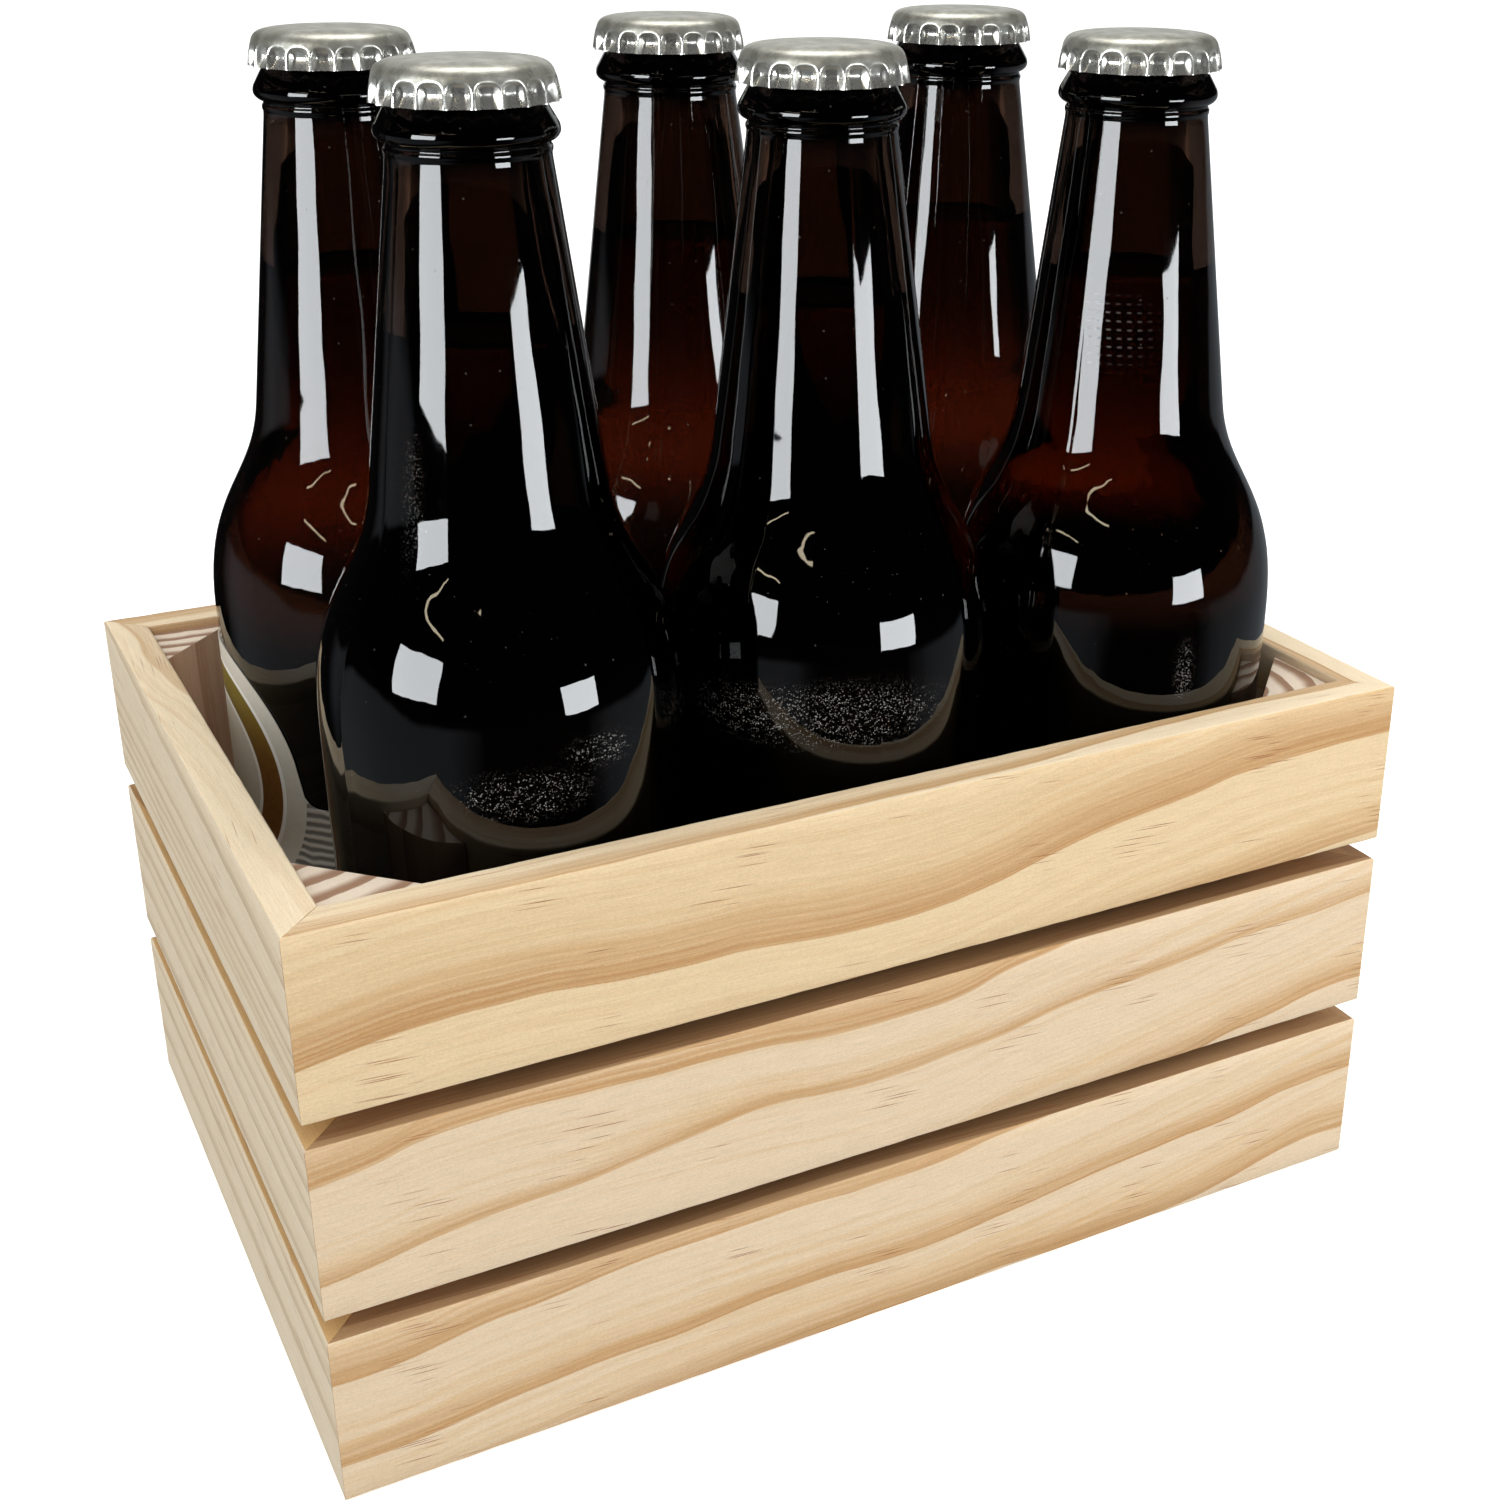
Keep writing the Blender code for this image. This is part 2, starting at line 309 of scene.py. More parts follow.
FRONT_BANDS = {
    "top": [
        ([(-105, -6.7), (-84, -3.8), (-70, -3.7), (-44, -5.4), (-31, -5.5), (-17, -6.7), (-5, -7.1),
          (7, -6.4), (17, -4.7), (30, -1.2), (44, 1.3), (59, 3.3), (70, 5.3), (84, 6.3), (105, 6.5)], 10.0, 1.0),
        ([(-105, -34), (-20, -27), (40, -21), (80, -16.6), (94, -15.1), (105, -14.2)], 7.0, 0.8),
    ],
    "middle": [
        ([(-105, 9.0), (-95, 10.3), (-88, 12.2), (-77, 13.0), (-60, 12.6), (-31, 11.9), (-17, 10.6),
          (-3, 10.2), (12, 11.3), (20, 13.5), (29, 15.0), (39, 16.3), (60, 20), (105, 28)], 9.0, 0.9),
        ([(-105, -9.5), (-97, -8.5), (-88, -6.7), (-77, -5.5), (-60, -4.5), (-38, -1.2), (-25, -0.2),
          (-17, -1.1), (-5, -1.5), (12, -0.5), (20, 0.2), (29, 2.0), (40, 3.5), (56, 4.6), (77, 7.0),
          (94, 7.6), (105, 8.5)], 3.4, 0.85),
        ([(-105, -42), (-20, -30), (20, -23.5), (50, -18.7), (64, -16.6), (71, -14.7), (83, -13), (94, -11.1),
          (105, -10.4)], 6.0, 0.9),
    ],
    "bottom": [
        ([(-105, 7.6), (-94, 8.0), (-81, 10.2), (-67, 11.3), (-58, 12.3), (-45, 13.0), (-25, 13.3),
          (-5, 13.0), (9, 13.6), (17, 14.7), (29, 15.7), (40, 17), (70, 22), (105, 28)], 8.0, 0.85),
        ([(-105, -9.3), (-91, -8.5), (-77, -7.0), (-58, -5.5), (-44, -5.3), (-31, -4.3), (-17, -4.0),
          (-3, -4.4), (9, -4.3), (20, -3.3), (32, -1.8), (44, -0.8), (59, 0.5), (77, 1.9), (86, 3.5),
          (94, 4.2), (105, 5.0)], 5.2, 0.95),
        ([(-105, -23), (-60, -19), (-25, -16.5), (12, -16.0), (23, -15.4), (37, -16), (52, -15.8),
          (66, -15.4), (75, -13.8), (85, -11.5), (94, -10.1), (105, -10)], 6.5, 0.95),
    ],
}
FRONT_RIM_BAND = ([(-105, 0.4), (-30, 0.5), (0, 1.2), (11, 1.4), (26, 2.1), (32, 2.8), (44, 4.0), (57, 4.9),
                   (71, 5.4), (82, 5.1), (99, 4.6), (105, 4.5)], 4.2, 0.75)
RIGHT_RIM_BAND = ([(-105, 4.9), (-40, 5.3), (0, 5.6), (30, 5.2), (60, 4.6), (105, 4.4)], 3.4, 0.9)
LEFT_RIM_BAND = ([(-74, 1.5), (-60, 4.0), (-50, 3.6), (-40, 4.8), (-28, 6.3), (-22, 8.0), (0, 11),
                  (74, 16)], 6.0, 0.4)


def straight_band(left, right, width, strength, half=74):
    """A nearly straight band, as in a board sawn across the rings."""
    rise = right - left
    return ([(-half, left), (-half / 3, left + 0.42 * rise), (half / 3, left + 0.62 * rise), (half, right)],
            width, strength)


# The left end's boards, each band as (height at its left, height at its right, width, strength)
LEFT_BANDS = {
    "top": [(15.6, 7.6, 3.0, 0.7), (0.8, -0.2, 2.6, 0.6), (-3.6, -4.6, 2.2, 0.7), (-6.6, -7.0, 2.0, 0.6),
            (-9.8, -10.4, 2.2, 0.6), (-13.6, -11.8, 1.8, 0.5)],
    "middle": [(12.6, 13.2, 2.4, 0.6), (6.4, 7.8, 2.6, 0.7), (2.2, 3.0, 2.2, 0.55), (-6.2, -3.8, 3.6, 0.6),
               (-15.2, -13.2, 3.2, 0.6)],
    "bottom": [(12.6, 13.0, 3.0, 0.6), (3.8, 6.8, 3.6, 0.65), (-7.0, -3.8, 4.0, 0.65)],
}
POST_BANDS = [(9.0, 7.0, 3.0, 0.8), (1.5, 0.5, 2.4, 0.7), (-6.0, -7.5, 2.6, 0.8)]


def drifting_bands(seed, count, half):
    """Bands for a board that the photograph doesn't show: each drifts and waves on its own."""
    rng = random.Random(seed)
    bands = []
    slope = rng.uniform(-0.10, 0.10)
    for index in range(count):
        height = 13.0 - 30.0 * (index + rng.uniform(0.2, 0.8)) / count
        phase = rng.uniform(0.0, 6.28)
        reach = rng.uniform(0.8, 1.8)
        points = []
        for step in range(9):
            x = half * (step / 4.0 - 1.0)
            points.append((x, height + slope * x + reach * math.sin(phase + x / 26.0)))
        bands.append((points, rng.uniform(4.0, 9.0), rng.uniform(0.7, 0.95)))
    return bands


def rim_from_outer(band):
    """A rim band whose points are given as mm in from the outer face, as heights in the slat's own Y."""
    points, width, strength = band
    return ([(x, inward - SLAT_THICKNESS * HALF_IN_MM) for x, inward in points], width, strength)


def band_darkness(graph, length, across, uneven, band, seed):
    """How dark and how warm one band makes a point's wood, and the height above the band's sharp edge."""
    points, width, strength = band
    share = graph.scaled(length, 1.0 / LENGTH_SPAN, 0.5)
    spots = [(x / LENGTH_SPAN + 0.5, y / ACROSS_SPAN + 0.5) for x, y in points]
    edge = graph.scaled(graph.curve(share, spots), ACROSS_SPAN, -ACROSS_SPAN / 2)
    above = graph.sum(graph.math("SUBTRACT", across, edge), uneven)
    started = graph.scaled(graph.step(above, -0.05, 0.26), strength)
    left = graph.inverse(graph.math("DIVIDE", above, width), clamp=True)
    lines = graph.noise(graph.stretched((length, above), (0.016, 1.5), seed), 1.0, 2.0, 0.6)
    shade = graph.product(graph.math("POWER", left, 0.8), graph.scaled(lines, 2.4, -0.35), clamp=True)
    halo = graph.inverse(graph.math("DIVIDE", above, 2.4 * width), clamp=True)
    return graph.product(started, shade), graph.product(started, halo), above


def pine(name, bands, axes="xz", tones=(CREAM, WARM_CREAM, LATE_TAN), seed=0.0, flecks=1.0):
    """Planed pine: sharp-edged growth bands, fine fibres, and thin dark resin flecks along the grain."""
    material, graph, shader = principled(name)
    place = graph.split(object_place(graph))
    along_grain, over_grain = ("xyz".index(axis) for axis in axes)
    length, across, depth = (graph.scaled(place[axis], IN_MM)
                             for axis in (along_grain, over_grain, 3 - along_grain - over_grain))
    drift = graph.noise(graph.stretched((length, across), (0.05, 0.09), seed), 1.0, 1.0)
    fuzz = graph.noise(graph.stretched((length, across, depth), (2.2, 3.6, 3.6)), 1.0, 2.0)
    fibre = graph.noise(graph.stretched((length, across, depth), (0.16, 5.0, 5.0)), 1.0, 2.0)
    uneven = graph.sum(graph.scaled(drift, 1.2, -0.6), graph.scaled(fuzz, 0.36, -0.18))
    made = [band_darkness(graph, length, across, uneven, band, seed + 11.0 * index)
            for index, band in enumerate(bands)]
    dark, warm, above_first = made[0]
    for one_dark, one_warm, _ in made[1:]:
        dark, warm = graph.math("MAXIMUM", dark, one_dark), graph.math("MAXIMUM", warm, one_warm)
    # Faint streaks run along the first band in the paler wood too
    streak = graph.noise(graph.stretched((length, above_first), (0.011, 0.60), seed + 60.0), 1.0, 3.0, 0.7)
    warmth = graph.sum(graph.scaled(warm, 0.8), graph.scaled(streak, 2.2, -1.08))
    colour = graph.mix(dark, graph.mix(warmth, tones[0], tones[1]), tones[2])
    grain = graph.sum(graph.scaled(fibre, 0.30, -0.15), graph.scaled(fuzz, 0.26, -0.13), 1.0)
    colour = graph.mix(1.0, colour, graph.join(grain, grain, graph.scaled(grain, 1.2, -0.2)), "MULTIPLY")
    # Flecks are scattered points stretched along the grain, kept in a few broad patches of the wood
    slant = graph.sum(across, graph.scaled(length, 0.07))
    spots = graph.join(graph.scaled(length, 0.036, seed), graph.scaled(slant, 1.6), 0.0)
    fleck = graph.dots(spots, 1.0, (0.02, 0.20), (0.52, 0.64), flat=True)
    fleck = graph.product(fleck, graph.step(drift, 0.50, 0.60))
    fleck = graph.product(fleck, graph.scaled(fibre, 1.2, 0.25), clamp=True)
    graph.put(shader["Base Color"], graph.mix(graph.scaled(fleck, flecks), colour, FLECK))
    graph.put(shader["Roughness"], graph.scaled(fuzz, 0.2, 0.48))
    shader["Specular IOR Level"].default_value = 0.28
    relief = graph.sum(graph.scaled(fibre, 0.6), graph.scaled(fuzz, 0.4))
    graph.put(shader["Normal"], graph.bump(relief, 0.00008))
    return material


def end_grain(name, centre, spacing, seed, tones):
    """Sawn ends: arcs of growth rings about a centre given in mm, with pores and saw fuzz."""
    material, graph, shader = principled(name)
    place = graph.split(object_place(graph))
    x = graph.scaled(place[0], IN_MM, -centre[0])
    y = graph.scaled(place[1], IN_MM, -centre[1])
    waver = graph.noise(graph.stretched((x, y), (0.12, 0.12), seed), 1.0, 2.0)
    rings = graph.scaled(graph.sum(graph.reach(x, y), graph.scaled(waver, 2.2)), 1.0 / spacing)
    rings = graph.math("FRACT", rings)
    late = graph.product(graph.step(rings, 0.30, 0.72), graph.fade(rings, 0.90, 0.98))
    fuzz = graph.noise(graph.stretched((x, y), (3.2, 3.2), seed + 5.0), 1.0, 3.0)
    pore = graph.dots(graph.stretched((x, y), (2.4, 2.4), seed), 1.0, (0.10, 0.22), (0.80, 0.85), lane=1)
    colour = graph.mix(graph.scaled(late, 0.95), tones[0], tones[1])
    grain = graph.scaled(fuzz, 0.22, 0.89)
    colour = graph.mix(1.0, colour, graph.join(grain, grain, grain), "MULTIPLY")
    graph.put(shader["Base Color"], graph.mix(graph.scaled(pore, 0.6), colour, tones[2]))
    shader["Roughness"].default_value = 0.8
    shader["Specular IOR Level"].default_value = 0.2
    graph.put(shader["Normal"], graph.bump(graph.sum(fuzz, graph.scaled(late, -0.5)), 0.00012))
    return material


# Slats

SLAT_ARRIS = 0.00045
SLAT_MITRE_GAP = 0.00005
SLAT_STEP = 0.0016
ARRIS_STEPS = 3
FACE_STEPS = 8
EDGE_STEPS = 3
FACE_WEAR = 0.00003
EDGE_WEAR = 0.00010


def slat_section():
    """The slat's section as (y, z) points, anticlockwise from the outer face's foot. Outside is -y."""
    half_y, half_z = SLAT_THICKNESS / 2, SLAT_HEIGHT / 2
    corners = [(-half_y, -half_z), (half_y, -half_z), (half_y, half_z), (-half_y, half_z)]
    points = []
    for number, (y, z) in enumerate(corners):
        middle_y = y - math.copysign(SLAT_ARRIS, y)
        middle_z = z - math.copysign(SLAT_ARRIS, z)
        start = math.pi + number * math.pi / 2
        for step in range(ARRIS_STEPS + 1):
            angle = start + step * math.pi / (2 * ARRIS_STEPS)
            points.append((middle_y + SLAT_ARRIS * math.cos(angle), middle_z + SLAT_ARRIS * math.sin(angle)))
        next_y, next_z = corners[(number + 1) % 4]
        steps = EDGE_STEPS if next_z == z else FACE_STEPS
        for step in range(1, steps):
            t = step / steps
            points.append((y + (next_y - y) * t, z + (next_z - z) * t))
    return points


def slat_mesh(name, length, seed):
    """A slat along X with rounded, slightly uneven arrises and mitred ends. Its outer face is at -Y."""
    section = slat_section()
    half = length / 2 - SLAT_MITRE_GAP
    count = int(length / SLAT_STEP)
    work = bmesh.new()
    rows = []
    for step in range(count + 1):
        share = step / count * 2.0 - 1.0
        row = []
        for y, z in section:
            x = share * (half - (y + SLAT_THICKNESS / 2))
            on_face = abs(abs(y) - SLAT_THICKNESS / 2) < 1e-6
            uneven = noise.noise(Vector((x * 220 + seed, y * 300, z * 300))) * 0.5 + 0.5
            inward = (FACE_WEAR if on_face else EDGE_WEAR) * uneven
            row.append(work.verts.new((x, y - math.copysign(inward, y), z - math.copysign(inward, z))))
        rows.append(row)
    for before, after in zip(rows, rows[1:]):
        for index in range(len(section)):
            following = (index + 1) % len(section)
            work.faces.new((before[index], before[following], after[following], after[index]))
    work.faces.new(list(reversed(rows[0])))
    work.faces.new(rows[-1])
    bmesh.ops.recalc_face_normals(work, faces=work.faces)
    for face in work.faces:
        if face.normal.z > 0.8:
            face.material_index = 1
        elif abs(face.normal.x) > 0.5:
            face.material_index = 2
        face.smooth = len(face.verts) == 4
    return finished_mesh(name, work, 50)


def add_slats():
    ends = end_grain("pine_mitre", (0.0, -40.0), 3.4, 2.0, (WARM_CREAM, LATE_TAN, FLECK))
    sides = {
        "front": (CRATE_WIDTH, CRATE_DEPTH, 0.0),
        "right": (CRATE_DEPTH, CRATE_WIDTH, 90.0),
        "back": (CRATE_WIDTH, CRATE_DEPTH, 180.0),
        "left": (CRATE_DEPTH, CRATE_WIDTH, 270.0),
    }
    top_rims = {"front": FRONT_RIM_BAND, "right": RIGHT_RIM_BAND, "left": LEFT_RIM_BAND}
    for number, (side, (length, across, turn)) in enumerate(sides.items()):
        turn = math.radians(turn)
        reach = across / 2 - SLAT_THICKNESS / 2
        for level, tier in enumerate(TIERS):
            seed = 17.0 * number + 5.0 * level
            tones = (CREAM, WARM_CREAM, LATE_TAN)
            if side == "front":
                face_bands = FRONT_BANDS[tier]
                tones = (SUNNY_CREAM if tier == "top" else CREAM, WARM_CREAM, LATE_TAN)
            elif side == "left":
                face_bands = [straight_band(*band) for band in LEFT_BANDS[tier]]
                # Greyer tones: painted shade of the left end
                tones = (SHADED_GREY_CREAM, SHADED_GREY_WARM, SHADED_GREY_TAN)
            else:
                face_bands = drifting_bands(30 + number * 3 + level, 3, length * HALF_IN_MM)
            rim_bands = drifting_bands(60 + number * 3 + level, 1, length * HALF_IN_MM)
            # Upper faces: painted shade on the lower tiers, painted light on the top tier
            rim_lit_and_shaded_tones = GOLDEN_SHADED_TONES if side == "left" else SHADED_TONES
            if tier == "top":
                rim_lit_and_shaded_tones = (LIT_PALE_RIM, WARM_CREAM, LATE_TAN)
                if side in top_rims:
                    rim_bands = [rim_from_outer(top_rims[side])]
            name = f"pine_{side}_{tier}"
            mesh = slat_mesh(f"slat_look_{side}_{tier}", length, seed)
            mesh.materials.append(pine(name, face_bands, "xz", tones, seed))
            mesh.materials.append(pine(name + "_rim", rim_bands, "xy", rim_lit_and_shaded_tones, seed + 2.5, 0.6))
            mesh.materials.append(ends)
            middle = SLAT_HEIGHT / 2 + level * (SLAT_HEIGHT + SLAT_GAP)
            place = (reach * math.sin(turn), -reach * math.cos(turn), middle)
            add_piece(mesh, place, f"slat_{side}_{tier}", turn)


# Corner posts and floor

CRATE_HEIGHT = 3 * SLAT_HEIGHT + 2 * SLAT_GAP
POST_BELOW_RIM = 0.0016
FLOOR_TOP = 0.0065
FLOOR_THICKNESS = 0.0055
FLOOR_RAISED = 0.001
FLOOR_BAND_HALF = 105.0
GAP = 0.0003
BOARD_BEVEL = 0.0003
INSIDE_X = CRATE_WIDTH / 2 - SLAT_THICKNESS - GAP
INSIDE_Y = CRATE_DEPTH / 2 - SLAT_THICKNESS - GAP
POST_TOP_TONES = (srgb(240, 223, 202), srgb(162, 124, 97), srgb(120, 84, 66))
# The centre of the growth rings on each post's top, in mm from its corner, and their spacing
POST_RINGS = {
    "front_left": ((-14.0, 62.0), 5.6),
    "front_right": ((-24.0, 12.0), 5.0),
    "back_left": ((10.0, 60.0), 4.2),
    "back_right": ((-30.0, 8.0), 5.0),
}


def prism_mesh(name, outline, height):
    """An upright prism over an outline, its edges eased. Its top face takes the second material."""
    work = bmesh.new()
    low = [work.verts.new((x, y, 0.0)) for x, y in outline]
    high = [work.verts.new((x, y, height)) for x, y in outline]
    for index in range(len(outline)):
        following = (index + 1) % len(outline)
        work.faces.new((low[index], low[following], high[following], high[index]))
    work.faces.new(list(reversed(low)))
    work.faces.new(high)
    bmesh.ops.recalc_face_normals(work, faces=work.faces)
    bmesh.ops.bevel(work, geom=list(work.edges), offset=BOARD_BEVEL, segments=2, affect="EDGES", profile=0.5)
    for face in work.faces:
        face.material_index = 1 if face.normal.z > 0.9 else 0
        face.smooth = True
    return finished_mesh(name, work, 40)


def add_posts():
    height = CRATE_HEIGHT - POST_BELOW_RIM - FLOOR_TOP - GAP
    upright = [straight_band(*band) for band in POST_BANDS]
    for number, (place, leg) in enumerate(POST_LEGS.items()):
        sign_x = 1 if place.endswith("right") else -1
        sign_y = 1 if place.startswith("back") else -1
        outline = [(0.0, 0.0), (-sign_x * leg, 0.0), (0.0, -sign_y * leg)]
        mesh = prism_mesh("post_look_" + place, outline, height)
        centre, spacing = POST_RINGS[place]
        # The posts' faces are painted shaded.
        mesh.materials.append(pine("pine_post_" + place, upright, "zx", ROSY_SHADED_TONES, 80.0 + number, 0.3))
        mesh.materials.append(end_grain("post_top_" + place, centre, spacing, 3.0 + number, POST_TOP_TONES))
        corner = (sign_x * INSIDE_X, sign_y * INSIDE_Y, FLOOR_TOP + GAP)
        add_piece(mesh, corner, "post_" + place)


def add_floor_panel():
    outline = [(-INSIDE_X, -INSIDE_Y), (INSIDE_X, -INSIDE_Y), (INSIDE_X, INSIDE_Y), (-INSIDE_X, INSIDE_Y)]
    mesh = prism_mesh("floor_look", outline, FLOOR_THICKNESS)
    bands = drifting_bands(91, 3, FLOOR_BAND_HALF)
    for name in ("pine_floor", "pine_floor_top"):
        mesh.materials.append(pine(name, bands, "xy", seed=91.0))
    add_piece(mesh, (0.0, 0.0, FLOOR_RAISED), "floor_panel")


# Bottles

TURN_COUNT = 96
PANEL_EASE = 0.028
PANEL_STEPS = 10
SEAM_HALF = math.radians(0.9)
SEAM_RISE = 0.00006
SEAM_FROM_RADIUS = 0.0118
OUTSIDE_MARGIN = 0.0006
GLASS_SWELL = 0.00035
BEER_OVERLAP = 0.00018


def cubic(start, start_handle, end_handle, end, t):
    weights = ((1 - t) ** 3, 3 * t * (1 - t) ** 2, 3 * t * t * (1 - t), t ** 3)
    corners = (start, start_handle, end_handle, end)
    return tuple(sum(w * c[axis] for w, c in zip(weights, corners)) for axis in (0, 1))


def shoulder_points(steps):
    """The sweep from the neck's foot to the fullest part, as (radius, depth)."""
    slope = (NECK_FOOT_RADIUS - NECK_TOP_RADIUS) / (NECK_FOOT_DEPTH - NECK_TOP_DEPTH)
    start = (NECK_FOOT_RADIUS, NECK_FOOT_DEPTH)
    end = (SHOULDER_RADIUS, SHOULDER_DEPTH)
    start_handle = (start[0] + slope * SHOULDER_SLOPE_REACH, start[1] + SHOULDER_SLOPE_REACH)
    end_handle = (end[0], end[1] - SHOULDER_ROUND_REACH)
    return [cubic(start, start_handle, end_handle, end, step / steps) for step in range(steps + 1)]


def rounded(points, passes=2):
    """Cuts the corners of a profile, keeping its two ends."""
    for _ in range(passes):
        cut = [points[0]]
        for (r0, d0), (r1, d1) in zip(points, points[1:]):
            cut.append((0.75 * r0 + 0.25 * r1, 0.75 * d0 + 0.25 * d1))
            cut.append((0.25 * r0 + 0.75 * r1, 0.25 * d0 + 0.75 * d1))
        cut.append(points[-1])
        points = cut
    return points


def divided(points, longest):
    """Adds points so that no stretch of a profile is longer than given."""
    fine = [points[0]]
    for start, end in zip(points, points[1:]):
        count = max(1, math.ceil(math.dist(start, end) / longest))
        for step in range(1, count + 1):
            t = step / count
            fine.append((start[0] + (end[0] - start[0]) * t, start[1] + (end[1] - start[1]) * t))
    return fine


def outer_glass():
    """The outside from the lip to the middle of the base, as (radius, depth below the cap's lower edge)."""
    lip = [(BORE_RADIUS, -0.0044), (0.0092, -0.0049), (0.0110, -0.0049), (0.0117, -0.0042), (0.0118, -0.0020),
           (0.0119, 0.0)]
    bead = [(0.0119, 0.0), (0.01345, 0.0027), (0.0139, 0.0035), (0.01400, 0.0047), (0.0132, 0.0056),
            (0.01245, 0.0058), (0.01243, 0.0064), (0.01268, 0.0065), (0.0127, 0.0072), (0.01252, 0.0075),
            (0.01258, 0.0084)]
    base = SKIRT_HEIGHT - BOTTLE_BASE
    panel = []
    for step in range(1, PANEL_STEPS + 1):
        share = step / PANEL_STEPS
        fuller = (SHOULDER_RADIUS - PANEL_RADIUS) * (1.0 - smoothstep(0.0, 1.0, share))
        panel.append((PANEL_RADIUS + fuller, SHOULDER_DEPTH + PANEL_EASE * share))
    heel = [(PANEL_RADIUS, base - 0.008), (PANEL_RADIUS, base - 0.001), (PANEL_RADIUS - 0.002, base),
            (PANEL_RADIUS - 0.0065, base), (0.020, base - 0.0008), (0.012, base - 0.0026), (0.0, base - 0.0032)]
    points = rounded(lip) + rounded(bead)[1:]
    points += divided([points[-1], (NECK_FOOT_RADIUS, NECK_FOOT_DEPTH)], 0.004)[1:]
    return points + shoulder_points(22)[1:] + panel + rounded(heel)


def inner_glass():
    """The inside from the middle of the bottle's floor up to its mouth, as (radius, depth)."""
    floor = SKIRT_HEIGHT - BOTTLE_BASE - 0.0045
    inside = PANEL_RADIUS - WALL_BODY
    low = rounded([(0.0, floor - 0.003), (0.012, floor - 0.0024), (0.021, floor), (inside, floor),
                   (inside, floor - 0.007)])
    wall = [(inside, PANEL_DEPTH + 0.002)]
    for radius, depth in reversed(shoulder_points(14)):
        thicker = (WALL_NECK - WALL_BODY) * (SHOULDER_DEPTH - depth) / (SHOULDER_DEPTH - NECK_FOOT_DEPTH)
        wall.append((radius - WALL_BODY - thicker, depth))
    mouth = [(BORE_RADIUS + 0.0002, 0.012), (BORE_RADIUS, 0.006), (BORE_RADIUS, -0.0040)]
    return low + wall + divided([wall[-1]] + mouth, 0.005)[1:]


# The bottle's outer skin as (height, radius), to tell it from the inner one
OUTER_LINE = sorted((SKIRT_HEIGHT - depth, radius) for radius, depth in outer_glass() if depth < 0.195)


def turn_angles(seam):
    """The columns of a turned piece, with extra ones at its two mould seams."""
    angles = {2 * math.pi * step / TURN_COUNT for step in range(TURN_COUNT)}
    for side in (seam, seam + math.pi):
        angles |= {(side + part * SEAM_HALF / 2) % (2 * math.pi) for part in (-2, -1, 0, 1, 2)}
    return sorted(angles)


def turned(name, profile, angles, shape):
    """Turns a (radius, height) profile. shape(radius, height, angle) gives the radius used at each point."""
    work = bmesh.new()
    rings = []
    for radius, height in profile:
        if radius < 1e-6:
            rings.append([work.verts.new((0.0, 0.0, height))])
            continue
        ring = []
        for angle in angles:
            reach = shape(radius, height, angle)
            ring.append(work.verts.new((reach * math.cos(angle), reach * math.sin(angle), height)))
        rings.append(ring)
    for upper, lower in zip(rings, rings[1:]):
        for index in range(len(angles)):
            after = (index + 1) % len(angles)
            corners = [upper[index % len(upper)], lower[index % len(lower)],
                       lower[after % len(lower)], upper[after % len(upper)]]
            unique = list(dict.fromkeys(corners))
            if len(unique) > 2:
                work.faces.new(unique)
    smooth_skin(work)
    return finished_mesh(name, work)


def angle_gap(first, second):
    return abs((first - second + math.pi) % (2 * math.pi) - math.pi)


def uneven_wall(radius, height, angle, number):
    """The radius with the slow swell of one bottle's glass, which the beer follows."""
    uneven = noise.noise(Vector((math.cos(angle) * 1.3, math.sin(angle) * 1.3, height * 34.0 + 9.0 * number)))
    return radius + GLASS_SWELL * uneven * smoothstep(0.012, 0.03, height)


def glass_skin(radius, height, angle, number, seam):
    """The radius of the glass: its outer skin is true but for the two mould seams, its inner skin swells."""
    below_lip = radius > SEAM_FROM_RADIUS and height < SKIRT_HEIGHT
    if below_lip and radius > along(OUTER_LINE, height) - OUTSIDE_MARGIN:
        seam_gap = min(angle_gap(angle, seam), angle_gap(angle, seam + math.pi))
        return radius + SEAM_RISE * max(0.0, 1.0 - seam_gap / SEAM_HALF)
    return uneven_wall(radius, height, angle, number)


# Marks on the glass: (kind, facing in degrees, height, half width, half height, strength)
# The back bottles' faint sheen marks are a painted reflection of light, not dirt.
GLASS_MARKS = {
    "back_left": [("dust", 235, 0.135, 0.020, 0.012, 0.5), ("painted_sheen", 235, 0.145, 0.045, 0.040, 0.014)],
    "front_left": [("scuff", 256, 0.1158, 0.016, 0.0060, 1.3), ("scuff", 281, 0.1213, 0.009, 0.0045, 1.2),
                   ("dust", 250, 0.150, 0.030, 0.030, 0.45), ("smear", 213, 0.160, 0.003, 0.016, 0.6)],
    "back_middle": [("dust", 235, 0.140, 0.020, 0.012, 0.5), ("painted_sheen", 235, 0.145, 0.045, 0.040, 0.032)],
    "front_middle": [("scuff", 242, 0.1165, 0.034, 0.0085, 1.4), ("smear", 250, 0.1185, 0.022, 0.007, 0.9),
                     ("dust", 250, 0.140, 0.030, 0.030, 0.6)],
    "back_right": [("dust", 230, 0.145, 0.020, 0.020, 0.6), ("painted_sheen", 230, 0.150, 0.045, 0.045, 0.026)],
    "front_right": [("dots", 230, 0.1735, 0.010, 0.009, 0.40), ("smear", 263, 0.1140, 0.0032, 0.009, 1.2),
                    ("dust", 240, 0.140, 0.020, 0.020, 0.4)],
}
# The way that each bottle's mould seams face, in degrees
SEAMS = {"back_left": 272, "front_left": 195, "back_middle": 300, "front_middle": 262, "back_right": 200,
         "front_right": 208}
# Glass tints paint light and shade: a paler painted glow in the body, near-black painted shade low down and at
# seen edges.
NECK_TINT = srgb(76, 54, 42)
BODY_GLOW_TINT = srgb(126, 86, 64)
DEEP_SHADE_TINT = srgb(24, 17, 13)
EDGE_SHADE_TINT = srgb(16, 11, 9)
